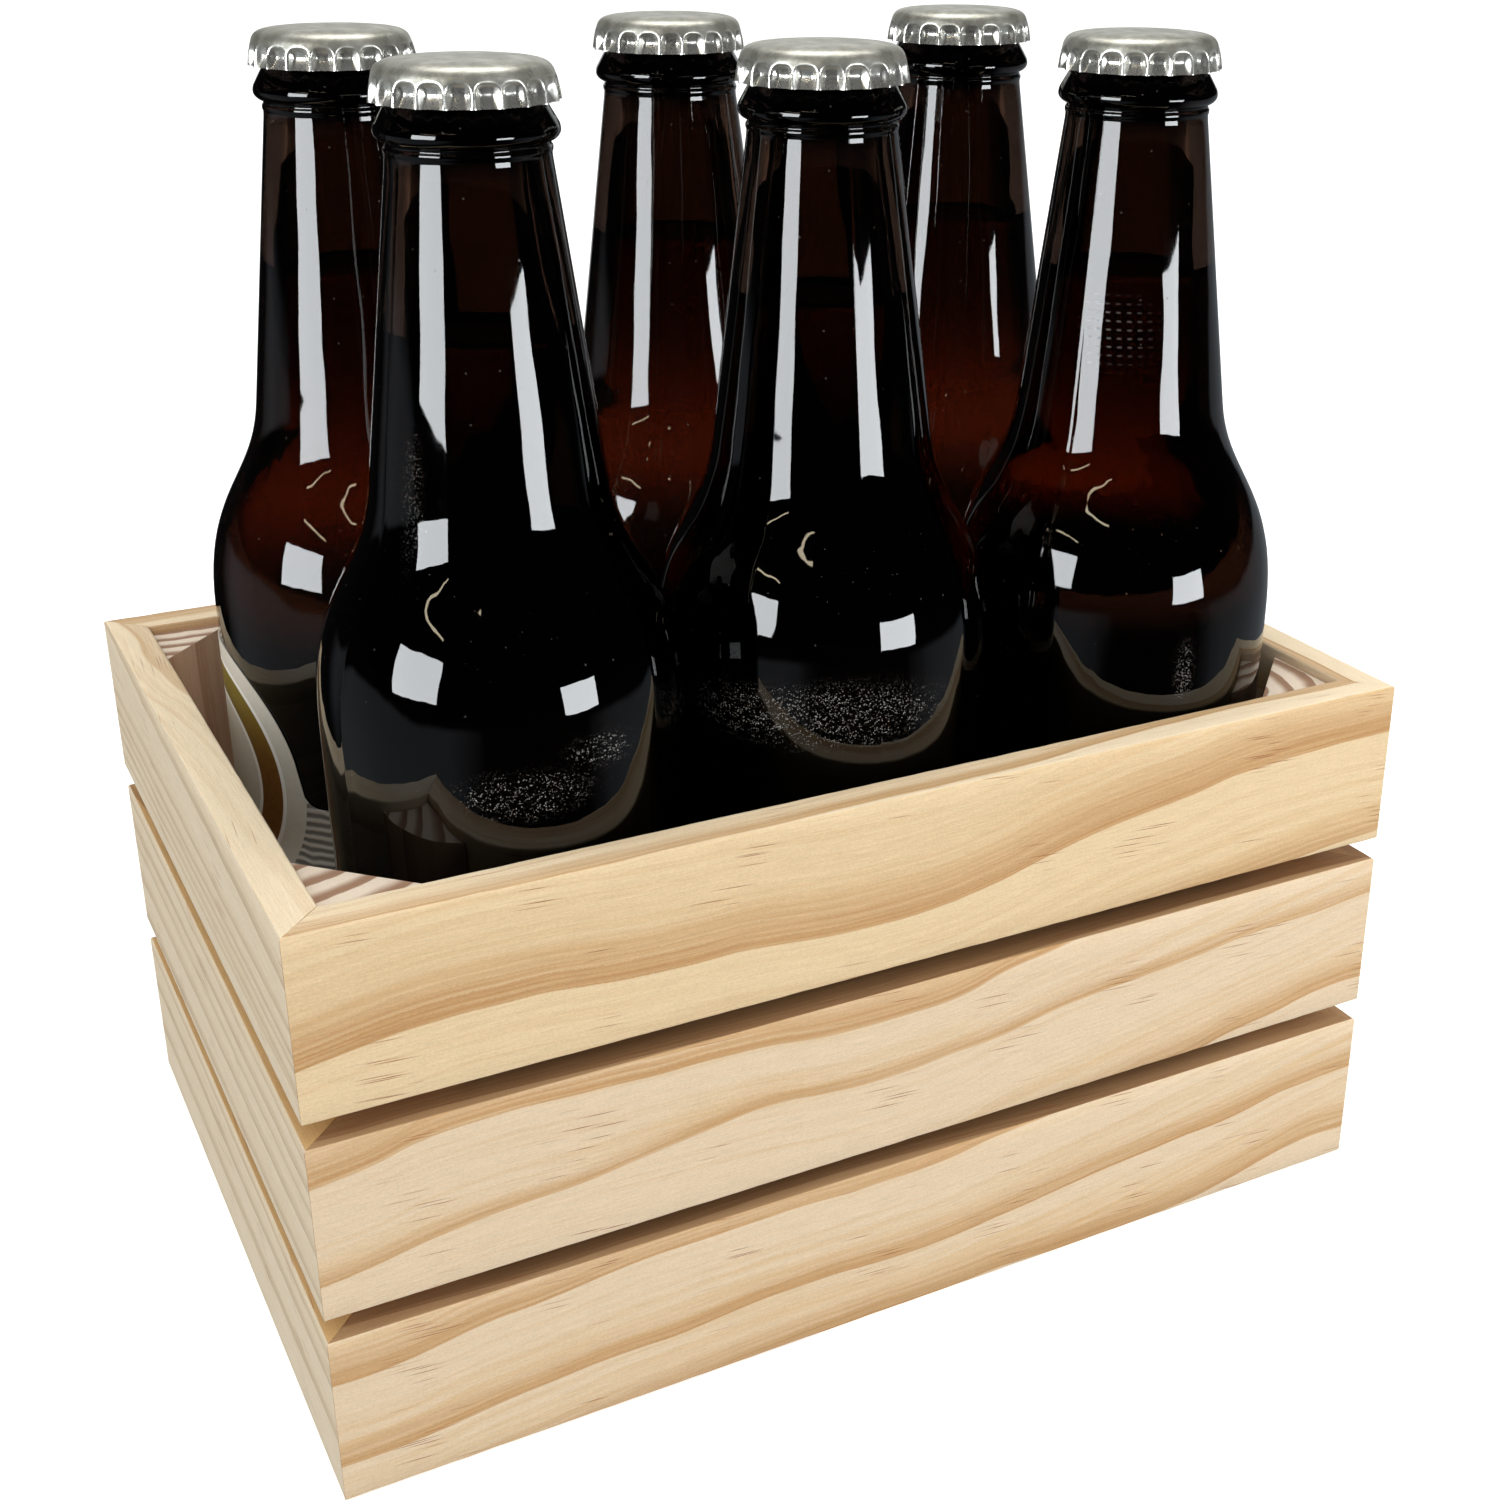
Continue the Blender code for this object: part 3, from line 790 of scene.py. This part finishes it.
# Heights between which the painted glow through a bottle's shoulder starts, with painted shade below it. Two
# front bottles are seen against others, so theirs starts higher.
PAINTED_GLOW_FROM = {"front_left": (0.150, 0.176), "front_middle": (0.150, 0.176), "front_right": (0.120, 0.131)}
OTHER_PAINTED_GLOW_FROM = (0.114, 0.127)
DUST_AND_SHEEN = srgb(176, 174, 170)


def glass_tint_with_painted_light(graph, z, place):
    """The glass's tint, with light and shade painted in: a paler painted glow in the body, and painted shade low
    down, at the lip and at the edges that are seen.
    """
    tint = graph.mix(graph.step(z, 0.136, 0.168), BODY_GLOW_TINT, NECK_TINT)
    tint = graph.mix(graph.step(z, *PAINTED_GLOW_FROM.get(place, OTHER_PAINTED_GLOW_FROM)), DEEP_SHADE_TINT, tint)
    tint = graph.mix(graph.step(z, 0.204, 0.210), tint, EDGE_SHADE_TINT)
    rim = graph.node("ShaderNodeLayerWeight")
    rim.inputs["Blend"].default_value = 0.5
    # The painted dark edges reach further in on the neck, where the wall is thick for its width
    on_neck = graph.step(z, 0.130, 0.170)
    starts, ends = graph.blend(on_neck, 0.40, 0.16), graph.blend(on_neck, 0.72, 0.36)
    return graph.mix(graph.step(rim.outputs["Facing"], starts, ends), tint, EDGE_SHADE_TINT)


def glass_cover_and_sheen(graph, spot, facing, radius, z, place):
    """How much dust, scuff and smear, and on the back bottles how much painted sheen, covers a point of the
    glass.
    """
    flake = graph.noise(spot, 2600.0, 2.0, 0.6)
    dust = graph.dots(spot, 800.0, (0.03, 0.10), (0.45, 1.0), lane=1)
    speck = graph.dots(spot, 420.0, (0.04, 0.11), (0.80, 0.84))
    frost = graph.dots(spot, 3300.0, (0.14, 0.46), (0.05, 0.70))
    frost = graph.math("MAXIMUM", frost, graph.step(flake, 0.60, 0.70))
    frost = graph.product(frost, graph.step(graph.noise(spot, 700.0, 2.0, 0.6), 0.26, 0.46))
    sweep = graph.noise(graph.join(graph.scaled(facing, 11.0), 0.0, graph.scaled(z, 1400.0)), 1.0, 3.0, 0.7)
    cover_and_sheen = graph.scaled(speck, 0.35)
    for kind, toward, height, half_width, half_height, strength in GLASS_MARKS[place]:
        aside = graph.sum(facing, -math.radians(toward))
        turned_by = graph.math("ARCTAN2", graph.math("SINE", aside), graph.math("COSINE", aside))
        u = graph.math("DIVIDE", graph.product(turned_by, radius), half_width)
        v = graph.scaled(z, 1.0 / half_height, -height / half_height)
        if kind == "scuff":
            grit_and_sheen = graph.product(frost, graph.step(sweep, 0.38, 0.56))
        elif kind == "smear":
            grit_and_sheen = graph.scaled(frost, 0.8)
        # A faint painted sheen of reflected light
        elif kind == "painted_sheen":
            grit_and_sheen = graph.scaled(sweep, 0.6, 0.7)
        elif kind == "dots":
            rows = graph.step(graph.math("SINE", graph.scaled(v, 38.0)), 0.5, 0.9)
            gaps = graph.math("SINE", graph.sum(graph.scaled(u, 34.0), graph.scaled(v, 3.0)))
            grit_and_sheen = graph.product(rows, graph.step(graph.sum(gaps, flake), 0.1, 1.2))
        else:
            grit_and_sheen = dust
        inside = graph.fade(graph.reach(u, v), 0.25, 1.0)
        cover_and_sheen = graph.math("MAXIMUM", cover_and_sheen, graph.product(inside, grit_and_sheen, strength))
    # The inner skin stays clean
    return graph.product(cover_and_sheen, graph.step(radius, 0.0104, 0.0106))


def brown_glass(place):
    """Dark brown glass with dust, scuffs and smears that stand on its outside, a faint painted sheen on the back
    bottles, and painted glow and shade in its tint.
    """
    material, graph, shader = principled("brown_glass_" + place)
    spot = object_place(graph)
    x, y, z = graph.split(spot)
    cover_and_sheen = glass_cover_and_sheen(graph, spot, graph.math("ARCTAN2", y, x), graph.reach(x, y), z, place)
    graph.put(shader["Base Color"], graph.mix(cover_and_sheen, glass_tint_with_painted_light(graph, z, place), DUST_AND_SHEEN))
    graph.put(shader["Roughness"], graph.scaled(cover_and_sheen, 0.5, 0.02))
    graph.put(shader["Transmission Weight"], graph.inverse(cover_and_sheen))
    shader["IOR"].default_value = 1.5
    swell = graph.noise(graph.stretched((x, y, z), (110.0, 110.0, 26.0)), 1.0, 2.0, 0.6)
    graph.put(shader["Normal"], graph.bump(swell, 0.00018))
    return material


def dark_beer():
    """Dark beer of a faintly uneven colour, clear near its surface and very slightly blurred lower down."""
    material, graph, shader = principled("dark_beer_look")
    x, y, z = graph.split(object_place(graph))
    murk = graph.noise(graph.stretched((x, y, z), (30.0, 30.0, 30.0)), 1.0, 2.0)
    tint = graph.mix(graph.scaled(murk, 0.5, 0.2), srgb(212, 152, 100), srgb(192, 128, 78))
    graph.put(shader["Base Color"], tint)
    graph.put(shader["Roughness"], graph.scaled(graph.step(z, 0.165, 0.110), 0.02))
    shader["Transmission Weight"].default_value = 1.0
    shader["IOR"].default_value = 1.34
    return material


def beer_profile(inner):
    """The beer as (radius, height), reaching just into the wall, with a low meniscus round its surface."""
    level = SKIRT_HEIGHT - BEER_DEPTH
    wetted = [(radius + BEER_OVERLAP, height) for radius, height in inner
              if height < level - 0.0003 and radius > 1e-6]
    at_level = along([(height, radius) for radius, height in inner], level) + BEER_OVERLAP
    surface = [(at_level, level + 0.0003), (at_level * 0.93, level - 0.0003),
               (at_level * 0.80, level - 0.0006), (at_level * 0.55, level - 0.0007), (0.0, level - 0.0007)]
    return [(0.0, inner[0][1] - BEER_OVERLAP)] + wetted + surface


def add_bottles():
    inner = [(radius, SKIRT_HEIGHT - depth) for radius, depth in inner_glass()]
    outer = [(radius, SKIRT_HEIGHT - depth) for radius, depth in outer_glass()]
    beer_points = beer_profile(inner)
    liquid = dark_beer()
    for number, (place, (x, y)) in enumerate(BOTTLE_PLACES.items()):
        seam = math.radians(SEAMS[place])
        angles = turn_angles(seam)
        mesh = turned("bottle_look_" + place, inner + outer, angles,
                      lambda radius, height, angle: glass_skin(radius, height, angle, number, seam))
        mesh.materials.append(brown_glass(place))
        add_piece(mesh, (x, y, 0.0), "bottle_" + place)
        mesh = turned("beer_look_" + place, beer_points, angles,
                      lambda radius, height, angle: uneven_wall(radius, height, angle, number))
        mesh.materials.append(liquid)
        add_piece(mesh, (x, y, 0.0), "beer_" + place)


# Crown caps, in mm. The top's line is (radius, height above the cap's lower edge), the ridges' and the
# valleys' lines are (height, radius).

CAP_TEETH = 21
CAP_COLUMNS = 18
CAP_TIN = 0.00026
CAP_RADIUS = 0.01435
CAP_TOP_LINE = [(0.0, 6.20), (4.0, 6.19), (7.5, 6.15), (9.5, 6.06), (10.8, 5.92), (11.6, 5.76), (12.2, 5.55),
                (12.65, 5.29), (12.98, 4.98), (13.22, 4.63), (13.38, 4.30)]
CAP_RIDGE_LINE = [(0.0, 14.33), (0.12, 14.35), (0.5, 14.29), (1.6, 14.13), (2.6, 13.92), (3.4, 13.69),
                  (4.0, 13.47)]
CAP_VALLEY_LINE = [(0.0, 13.62), (0.5, 13.32), (1.1, 13.00), (1.6, 12.80), (2.0, 12.74), (2.4, 12.84),
                   (3.0, 13.06), (3.6, 13.30), (4.0, 13.47)]
CAP_SKIRT_HEIGHTS = [3.95, 3.8, 3.65, 3.5, 3.35, 3.2, 3.05, 2.9, 2.75, 2.6, 2.45, 2.35, 2.25, 2.15, 2.05, 1.9,
                     1.7, 1.5, 1.3, 1.1, 0.9, 0.65, 0.4, 0.2, 0.08, 0.0]
CAP_ARCH_TOP = 4.0
CAP_ARCH_DROP = 0.9
CAP_VALLEY_HALF = 0.88
CAP_UNEVEN_TO = 4.6
CAP_LEAN = 0.10
CAP_WAVER = 0.05
CAP_INNER_SET_IN = 0.25
CAP_INNER_RAISED = 0.02


def cap_skirt_radius(share, height):
    """The skirt's radius in mm. share runs from -1 to 1 between two teeth, 0 in the middle of a valley."""
    ridge, valley = along(CAP_RIDGE_LINE, height), along(CAP_VALLEY_LINE, height)
    arch = CAP_ARCH_TOP - CAP_ARCH_DROP * (abs(share) / CAP_VALLEY_HALF) ** 2.8
    beside = 1.0 - smoothstep(CAP_VALLEY_HALF - 0.42, CAP_VALLEY_HALF + 0.12, abs(share))
    under = smoothstep(-0.1, 1.0, arch - height)
    return ridge + (valley - ridge) * beside * under


def crown_cap_mesh(name, seed):
    """A crimped crown: a faintly domed top, a rolled shoulder, and a skirt of ridges and arched valleys."""
    columns = CAP_TEETH * CAP_COLUMNS
    tin = CAP_TIN / MM
    work = bmesh.new()
    rings = []

    def ring(radius_of, height):
        row = []
        for index in range(columns):
            angle = 2 * math.pi * index / columns
            share = (index % CAP_COLUMNS) / CAP_COLUMNS * 2.0 - 1.0
            reach = radius_of(share, index // CAP_COLUMNS) * MM
            row.append(work.verts.new((reach * math.cos(angle), reach * math.sin(angle), height * MM)))
        rings.append(row)

    def waver(tooth, lane):
        return noise.noise(Vector((tooth * 1.7 + seed, lane * 3.1, 0.5)))

    def skirt(share, tooth, height):
        uneven = 1.0 - height / CAP_UNEVEN_TO
        lean = CAP_LEAN * waver(tooth, 0.0) * uneven
        radius = cap_skirt_radius(max(-1.0, min(1.0, share + lean)), height)
        return min(CAP_RADIUS / MM, radius + CAP_WAVER * waver(tooth, 1.0) * uneven)

    for radius, height in CAP_TOP_LINE[1:]:
        ring(lambda share, tooth: radius, height)
    for height in CAP_SKIRT_HEIGHTS:
        ring(lambda share, tooth: skirt(share, tooth, height), height)
    for height in reversed(CAP_SKIRT_HEIGHTS):
        ring(lambda share, tooth: skirt(share, tooth, height) - tin, height + CAP_INNER_RAISED)
    for radius, height in reversed(CAP_TOP_LINE[2:]):
        ring(lambda share, tooth: radius - CAP_INNER_SET_IN, height - tin)
    for upper, lower in zip(rings, rings[1:]):
        for index in range(columns):
            after = (index + 1) % columns
            work.faces.new((upper[index], lower[index], lower[after], upper[after]))
    crown = CAP_TOP_LINE[0][1]
    for row, height in ((rings[0], crown), (rings[-1], crown - tin)):
        middle = work.verts.new((0.0, 0.0, height * MM))
        for index in range(columns):
            work.faces.new((middle, row[index], row[(index + 1) % columns]))
    smooth_skin(work)
    return finished_mesh(name, work, 60)


def tinplate():
    """Satin tinplate: cloudy mottling, rolling lines one way, a few smoother specks whose near-white colour
    paints glints, and a skirt painted brighter for the light it reflects.
    """
    material, graph, shader = principled("tinplate_look")
    place = object_place(graph)
    x, y, z = graph.split(place)
    cloud = graph.noise(place, 260.0, 4.0, 0.6)
    rolled = graph.noise(graph.stretched((x, y, z), (350.0, 2600.0, 800.0)), 1.0, 2.0)
    fine = graph.noise(place, 2400.0, 2.0, 0.6)
    # The bright specks are smoother spots whose near-white colour is a painted glint.
    bright = graph.dots(place, 1300.0, (0.08, 0.2), (0.86, 0.9))
    # The skirt is painted brighter, for the light that it reflects.
    skirt = graph.fade(z, 0.0024, 0.0044)
    tone = graph.sum(graph.scaled(cloud, 2.2, -0.85), graph.scaled(rolled, 0.6, -0.12),
                     graph.scaled(fine, 0.5, -0.15))
    colour = graph.mix(tone, srgb(172, 172, 158), srgb(236, 235, 225))
    colour = graph.mix(skirt, colour, srgb(238, 237, 230))
    graph.put(shader["Base Color"], graph.mix(bright, colour, srgb(250, 250, 244)))
    graph.put(shader["Metallic"], graph.scaled(skirt, 0.09, 0.80))
    rough = graph.sum(graph.scaled(cloud, 0.14, 0.30), graph.scaled(fine, 0.10), graph.scaled(bright, -0.1))
    graph.put(shader["Roughness"], graph.sum(rough, graph.scaled(skirt, -0.14)))
    relief = graph.sum(graph.scaled(cloud, 1.2), graph.scaled(rolled, 0.2), graph.scaled(fine, 0.15))
    graph.put(shader["Normal"], graph.bump(relief, 0.00002))
    return material


def add_caps():
    tin = tinplate()
    for number, (place, (x, y)) in enumerate(BOTTLE_PLACES.items()):
        mesh = crown_cap_mesh("cap_look_" + place, 5.0 * number)
        mesh.materials.append(tin)
        add_piece(mesh, (x, y, SKIRT_HEIGHT), "cap_" + place)


# Label

LABEL_COLUMNS = 120
LABEL_ROWS = 60
LABEL_IN = 0.00034
LABEL_OUT = 0.00054
LABEL_CORNER = 0.004
LABEL_EDGE = 0.00008
RING_OUTER = 0.0205
RING_INNER = 0.0150
RING_BORDER = 0.0009


def label_top(across):
    """The height of the label's upper edge: a round head over a broad band, with a small curve between."""
    head = -1.0
    if abs(across) < LABEL_HEAD_RADIUS:
        head = LABEL_CENTRE_HEIGHT + math.sqrt(LABEL_HEAD_RADIUS ** 2 - across ** 2)
    beyond = abs(across) - LABEL_HEAD_RADIUS
    fillet = 0.0
    if 0.0 <= beyond < LABEL_CORNER:
        fillet = LABEL_CORNER - math.sqrt(LABEL_CORNER ** 2 - (LABEL_CORNER - beyond) ** 2)
    return max(head, LABEL_BAND_TOP + fillet)


def label_paper():
    """Cream coated paper with a plain gilt ring, its upper part painted paler and yellower as a sheen, over a
    silver-grey band of close wavy lines.
    """
    material, graph, shader = principled("label_look")
    x, y, z = graph.split(object_place(graph))
    sine, cosine = math.sin(LABEL_FACING), math.cos(LABEL_FACING)
    aside = graph.sum(graph.scaled(x, -sine), graph.scaled(y, cosine))
    ahead = graph.sum(graph.scaled(x, cosine), graph.scaled(y, sine))
    across = graph.scaled(graph.math("ARCTAN2", aside, ahead), PANEL_RADIUS + LABEL_OUT)
    rise = graph.sum(z, -LABEL_CENTRE_HEIGHT)
    reach = graph.reach(across, rise)

    def disc(radius):
        return graph.fade(reach, radius - LABEL_EDGE, radius + LABEL_EDGE)

    mottle = graph.noise(graph.stretched((across, rise), (900.0, 900.0), 0.0), 1.0, 3.0)
    waver = graph.noise(graph.stretched((across, rise), (130.0, 60.0), 4.0), 1.0, 2.0)
    lines = graph.math("SINE", graph.sum(graph.scaled(rise, 3600.0), graph.scaled(waver, 10.0)))
    lined = graph.mix(graph.step(lines, -0.8, 1.0), srgb(134, 131, 126), srgb(222, 219, 210))
    paper = graph.mix(mottle, srgb(206, 200, 186), srgb(220, 215, 202))
    gilt = graph.mix(mottle, srgb(116, 74, 32), srgb(160, 112, 54))
    # The ring's upper part is paler and yellower: a painted sheen of light from above.
    gilt = graph.mix(graph.step(rise, 0.002, 0.020), gilt, srgb(156, 138, 56))
    head = disc(LABEL_HEAD_RADIUS + RING_BORDER)
    band = graph.inverse(head)
    ring = graph.math("SUBTRACT", disc(RING_OUTER), disc(RING_INNER), clamp=True)
    border = graph.math("SUBTRACT", disc(RING_OUTER + RING_BORDER), disc(RING_INNER - RING_BORDER),
                        clamp=True)
    colour = graph.mix(border, graph.mix(head, lined, paper), srgb(244, 242, 236))
    graph.put(shader["Base Color"], graph.mix(ring, colour, gilt))
    graph.put(shader["Metallic"], graph.sum(graph.scaled(ring, 0.5), graph.scaled(band, 0.25)))
    graph.put(shader["Roughness"], graph.sum(graph.scaled(mottle, 0.1, 0.42), graph.scaled(ring, -0.1),
                                             graph.scaled(band, -0.08)))
    relief = graph.sum(graph.scaled(mottle, 0.3), graph.product(lines, band))
    graph.put(shader["Normal"], graph.bump(relief, 0.00004))
    return material


def add_label():
    """A thin closed sheet just off the glass, its outer and inner skins joined all round."""
    inner = PANEL_RADIUS + LABEL_IN
    outer = PANEL_RADIUS + LABEL_OUT
    work = bmesh.new()
    skins = []
    for radius in (outer, inner):
        grid = []
        for column in range(LABEL_COLUMNS + 1):
            across = LABEL_BAND_HALF * (2 * column / LABEL_COLUMNS - 1)
            angle = LABEL_FACING + across / outer
            rise = label_top(across) - LABEL_BAND_BOTTOM
            grid.append([work.verts.new((radius * math.cos(angle), radius * math.sin(angle),
                                         LABEL_BAND_BOTTOM + rise * row / LABEL_ROWS))
                         for row in range(LABEL_ROWS + 1)])
        skins.append(grid)
    for grid in skins:
        for before, after in zip(grid, grid[1:]):
            for row in range(LABEL_ROWS):
                work.faces.new((before[row], after[row], after[row + 1], before[row + 1]))
    front, back = skins
    for row in (0, LABEL_ROWS):
        for near, far in zip(range(LABEL_COLUMNS), range(1, LABEL_COLUMNS + 1)):
            work.faces.new((front[near][row], back[near][row], back[far][row], front[far][row]))
    for column in (0, LABEL_COLUMNS):
        for low, high in zip(range(LABEL_ROWS), range(1, LABEL_ROWS + 1)):
            work.faces.new((front[column][low], front[column][high], back[column][high], back[column][low]))
    smooth_skin(work)
    mesh = finished_mesh("label_look", work, 40)
    mesh.materials.append(label_paper())
    x, y = BOTTLE_PLACES["back_left"]
    add_piece(mesh, (x, y, 0.0), "label_back_left")


# Studio

COOL = (0.93, 0.97, 1.0)
NEUTRAL = (1.0, 0.99, 0.96)
WARM = (1.0, 0.98, 0.95)
# Azimuth, elevation, distance, size, watts, colour. The softboxes and the overhead light only make reflections,
# and the key and the fill only light what isn't glossy.
REFLECTED_LIGHTS = {
    "softbox_left": (-72.0, 8.8, 1.2, (0.61, 0.41), 10.8, COOL),
    "softbox_right": (24.5, -1.8, 1.1, (0.42, 0.24), 5.0, COOL),
    "overhead": (150.0, 78.0, 1.3, (0.9, 0.9), 9.0, NEUTRAL),
}
LIGHTING_LIGHTS = {
    "key": (-14.0, 70.0, 2.2, (2.2, 2.2), 12.5, WARM),
    "fill_right": (62.0, 14.0, 0.62, (0.3, 0.3), 1.7, WARM),
}
# Small bent tubes of light beside the left softbox: (azimuth, elevation) points from the crate, in degrees
TUBES = {
    "tube_long": [(-33.5, 34.6), (-37.0, 34.6), (-43.0, 36.4), (-50.0, 37.6), (-58.0, 38.4)],
    "tube_short": [(-58.0, 25.6), (-64.0, 27.0), (-71.0, 28.0), (-79.0, 28.4)],
}
TUBE_DISTANCE = 1.15
AIM = (0.0, 0.0, 0.15)
TUBE_RADIUS = 0.0075
WHITE = (1.0, 1.0, 1.0, 1.0)
FLOOR_RADIUS = 14.0
FLOOR_BELOW = -0.0002


def add_camera():
    forward, right = Vector(CAMERA_FORWARD), Vector(CAMERA_RIGHT)
    down = forward.cross(right)
    data = bpy.data.cameras.new("camera")
    data.lens = CAMERA_LENS
    data.sensor_width = 36.0
    data.shift_x, data.shift_y = CAMERA_SHIFT
    data.clip_start = 0.01
    data.clip_end = 50.0
    camera = link(bpy.data.objects.new("camera", data))
    turn = Matrix((right, -down, -forward)).transposed()
    camera.matrix_world = Matrix.Translation(CAMERA_PLACE) @ turn.to_4x4()
    bpy.context.scene.camera = camera


def aimed(azimuth, elevation, distance):
    """A place seen from AIM at an azimuth (0 in front, 90 to the right) and elevation, turned to face it."""
    a, e = math.radians(azimuth), math.radians(elevation)
    away = Vector((math.sin(a) * math.cos(e), -math.cos(a) * math.cos(e), math.sin(e)))
    place = Vector(AIM) + away * distance
    return Matrix.Translation(place) @ away.to_track_quat("Z", "Y").to_matrix().to_4x4()


def add_panel_lights(lights, glossy):
    for name, (azimuth, elevation, distance, size, power, colour) in lights.items():
        data = bpy.data.lights.new(name, "AREA")
        data.shape = "RECTANGLE"
        data.size, data.size_y = size
        data.energy = power
        data.color = colour
        light = link(bpy.data.objects.new(name, data))
        light.matrix_world = aimed(azimuth, elevation, distance)
        light.visible_camera = False
        light.visible_glossy = glossy
        light.visible_diffuse = not glossy
        light.visible_transmission = False


def add_world():
    """The camera sees plain white. Matt surfaces and glass see a pale surround, brighter on the left.

    Reflections see a dark room instead, pale behind the crate and grey low down at both sides.
    """
    world = bpy.data.worlds.new("studio")
    bpy.context.scene.world = world
    world.use_nodes = True
    graph = Graph(world.node_tree)
    background = world.node_tree.nodes["Background"]
    x, y, z = graph.split(graph.node("ShaderNodeTexCoord").outputs["Generated"])
    ahead = graph.sum(graph.scaled(x, 0.45), graph.scaled(y, 0.89))
    behind = graph.product(graph.step(ahead, 0.88, 0.95), graph.fade(z, 0.55, 0.9))
    edge = graph.scaled(graph.step(y, -0.4, 0.3), 0.13, -0.17)
    low = graph.fade(graph.math("SUBTRACT", z, edge), -0.03, 0.03)
    table = graph.product(low, graph.step(graph.math("ABSOLUTE", x), 0.45, 0.8))
    room = graph.mix(behind, (0.006, 0.006, 0.0065, 1.0), (0.66, 0.68, 0.69, 1.0))
    room = graph.mix(graph.scaled(table, 0.9), room, (0.20, 0.22, 0.24, 1.0))
    surround = graph.mix(graph.step(x, -0.9, 0.4), (1.10, 1.10, 1.10, 1.0), (0.64, 0.643, 0.645, 1.0))
    rays = graph.node("ShaderNodeLightPath").outputs
    seen = graph.mix(rays["Is Glossy Ray"], surround, room)
    graph.put(background.inputs["Color"], graph.mix(rays["Is Camera Ray"], seen, WHITE))
    background.inputs["Strength"].default_value = 1.0


def pale_floor():
    """White paper that glows a little, so that it is as white as the surround."""
    material, graph, shader = principled("pale_floor")
    speckle = graph.noise(object_place(graph), 9.0, 3.0)
    graph.put(shader["Base Color"], graph.mix(speckle, (0.93, 0.93, 0.925, 1.0), (0.97, 0.97, 0.965, 1.0)))
    shader["Roughness"].default_value = 0.9
    shader["Specular IOR Level"].default_value = 0.1
    shader["Emission Color"].default_value = WHITE
    shader["Emission Strength"].default_value = 0.45
    return material


def tube_glow():
    """The warm glow of the studio's small bent tubes."""
    material, graph, shader = principled("tube_glow")
    flicker = graph.noise(object_place(graph), 30.0, 1.0)
    graph.put(shader["Base Color"], graph.mix(flicker, (0.8, 0.7, 0.5, 1.0), (0.9, 0.8, 0.6, 1.0)))
    shader["Emission Color"].default_value = (1.0, 0.86, 0.62, 1.0)
    shader["Emission Strength"].default_value = 9.0
    return material


def add_tubes():
    """The tubes show in reflections only."""
    glow = tube_glow()
    for name, points in TUBES.items():
        curve = bpy.data.curves.new(name, "CURVE")
        curve.dimensions = "3D"
        curve.bevel_depth = TUBE_RADIUS
        curve.bevel_resolution = 2
        line = curve.splines.new("NURBS")
        line.points.add(len(points) - 1)
        for spot, (azimuth, elevation) in zip(line.points, points):
            spot.co = (*aimed(azimuth, elevation, TUBE_DISTANCE).translation, 1.0)
        line.use_endpoint_u = True
        line.order_u = 3
        curve.materials.append(glow)
        tube = link(bpy.data.objects.new(name, curve))
        tube.visible_camera = False
        tube.visible_diffuse = False
        tube.visible_transmission = False
        tube.visible_shadow = False


def add_studio_floor():
    work = bmesh.new()
    bmesh.ops.create_circle(work, cap_ends=True, segments=96, radius=FLOOR_RADIUS)
    mesh = finished_mesh("studio_floor", work)
    mesh.materials.append(pale_floor())
    floor = link(bpy.data.objects.new("studio_floor", mesh))
    floor.location.z = FLOOR_BELOW
    floor.visible_glossy = False
    floor.visible_diffuse = False


def main():
    bpy.context.scene.view_settings.view_transform = "Standard"
    add_camera()
    add_slats()
    add_posts()
    add_floor_panel()
    add_bottles()
    add_caps()
    add_label()
    add_world()
    add_studio_floor()
    add_panel_lights(REFLECTED_LIGHTS, glossy=True)
    add_panel_lights(LIGHTING_LIGHTS, glossy=False)
    add_tubes()


main()
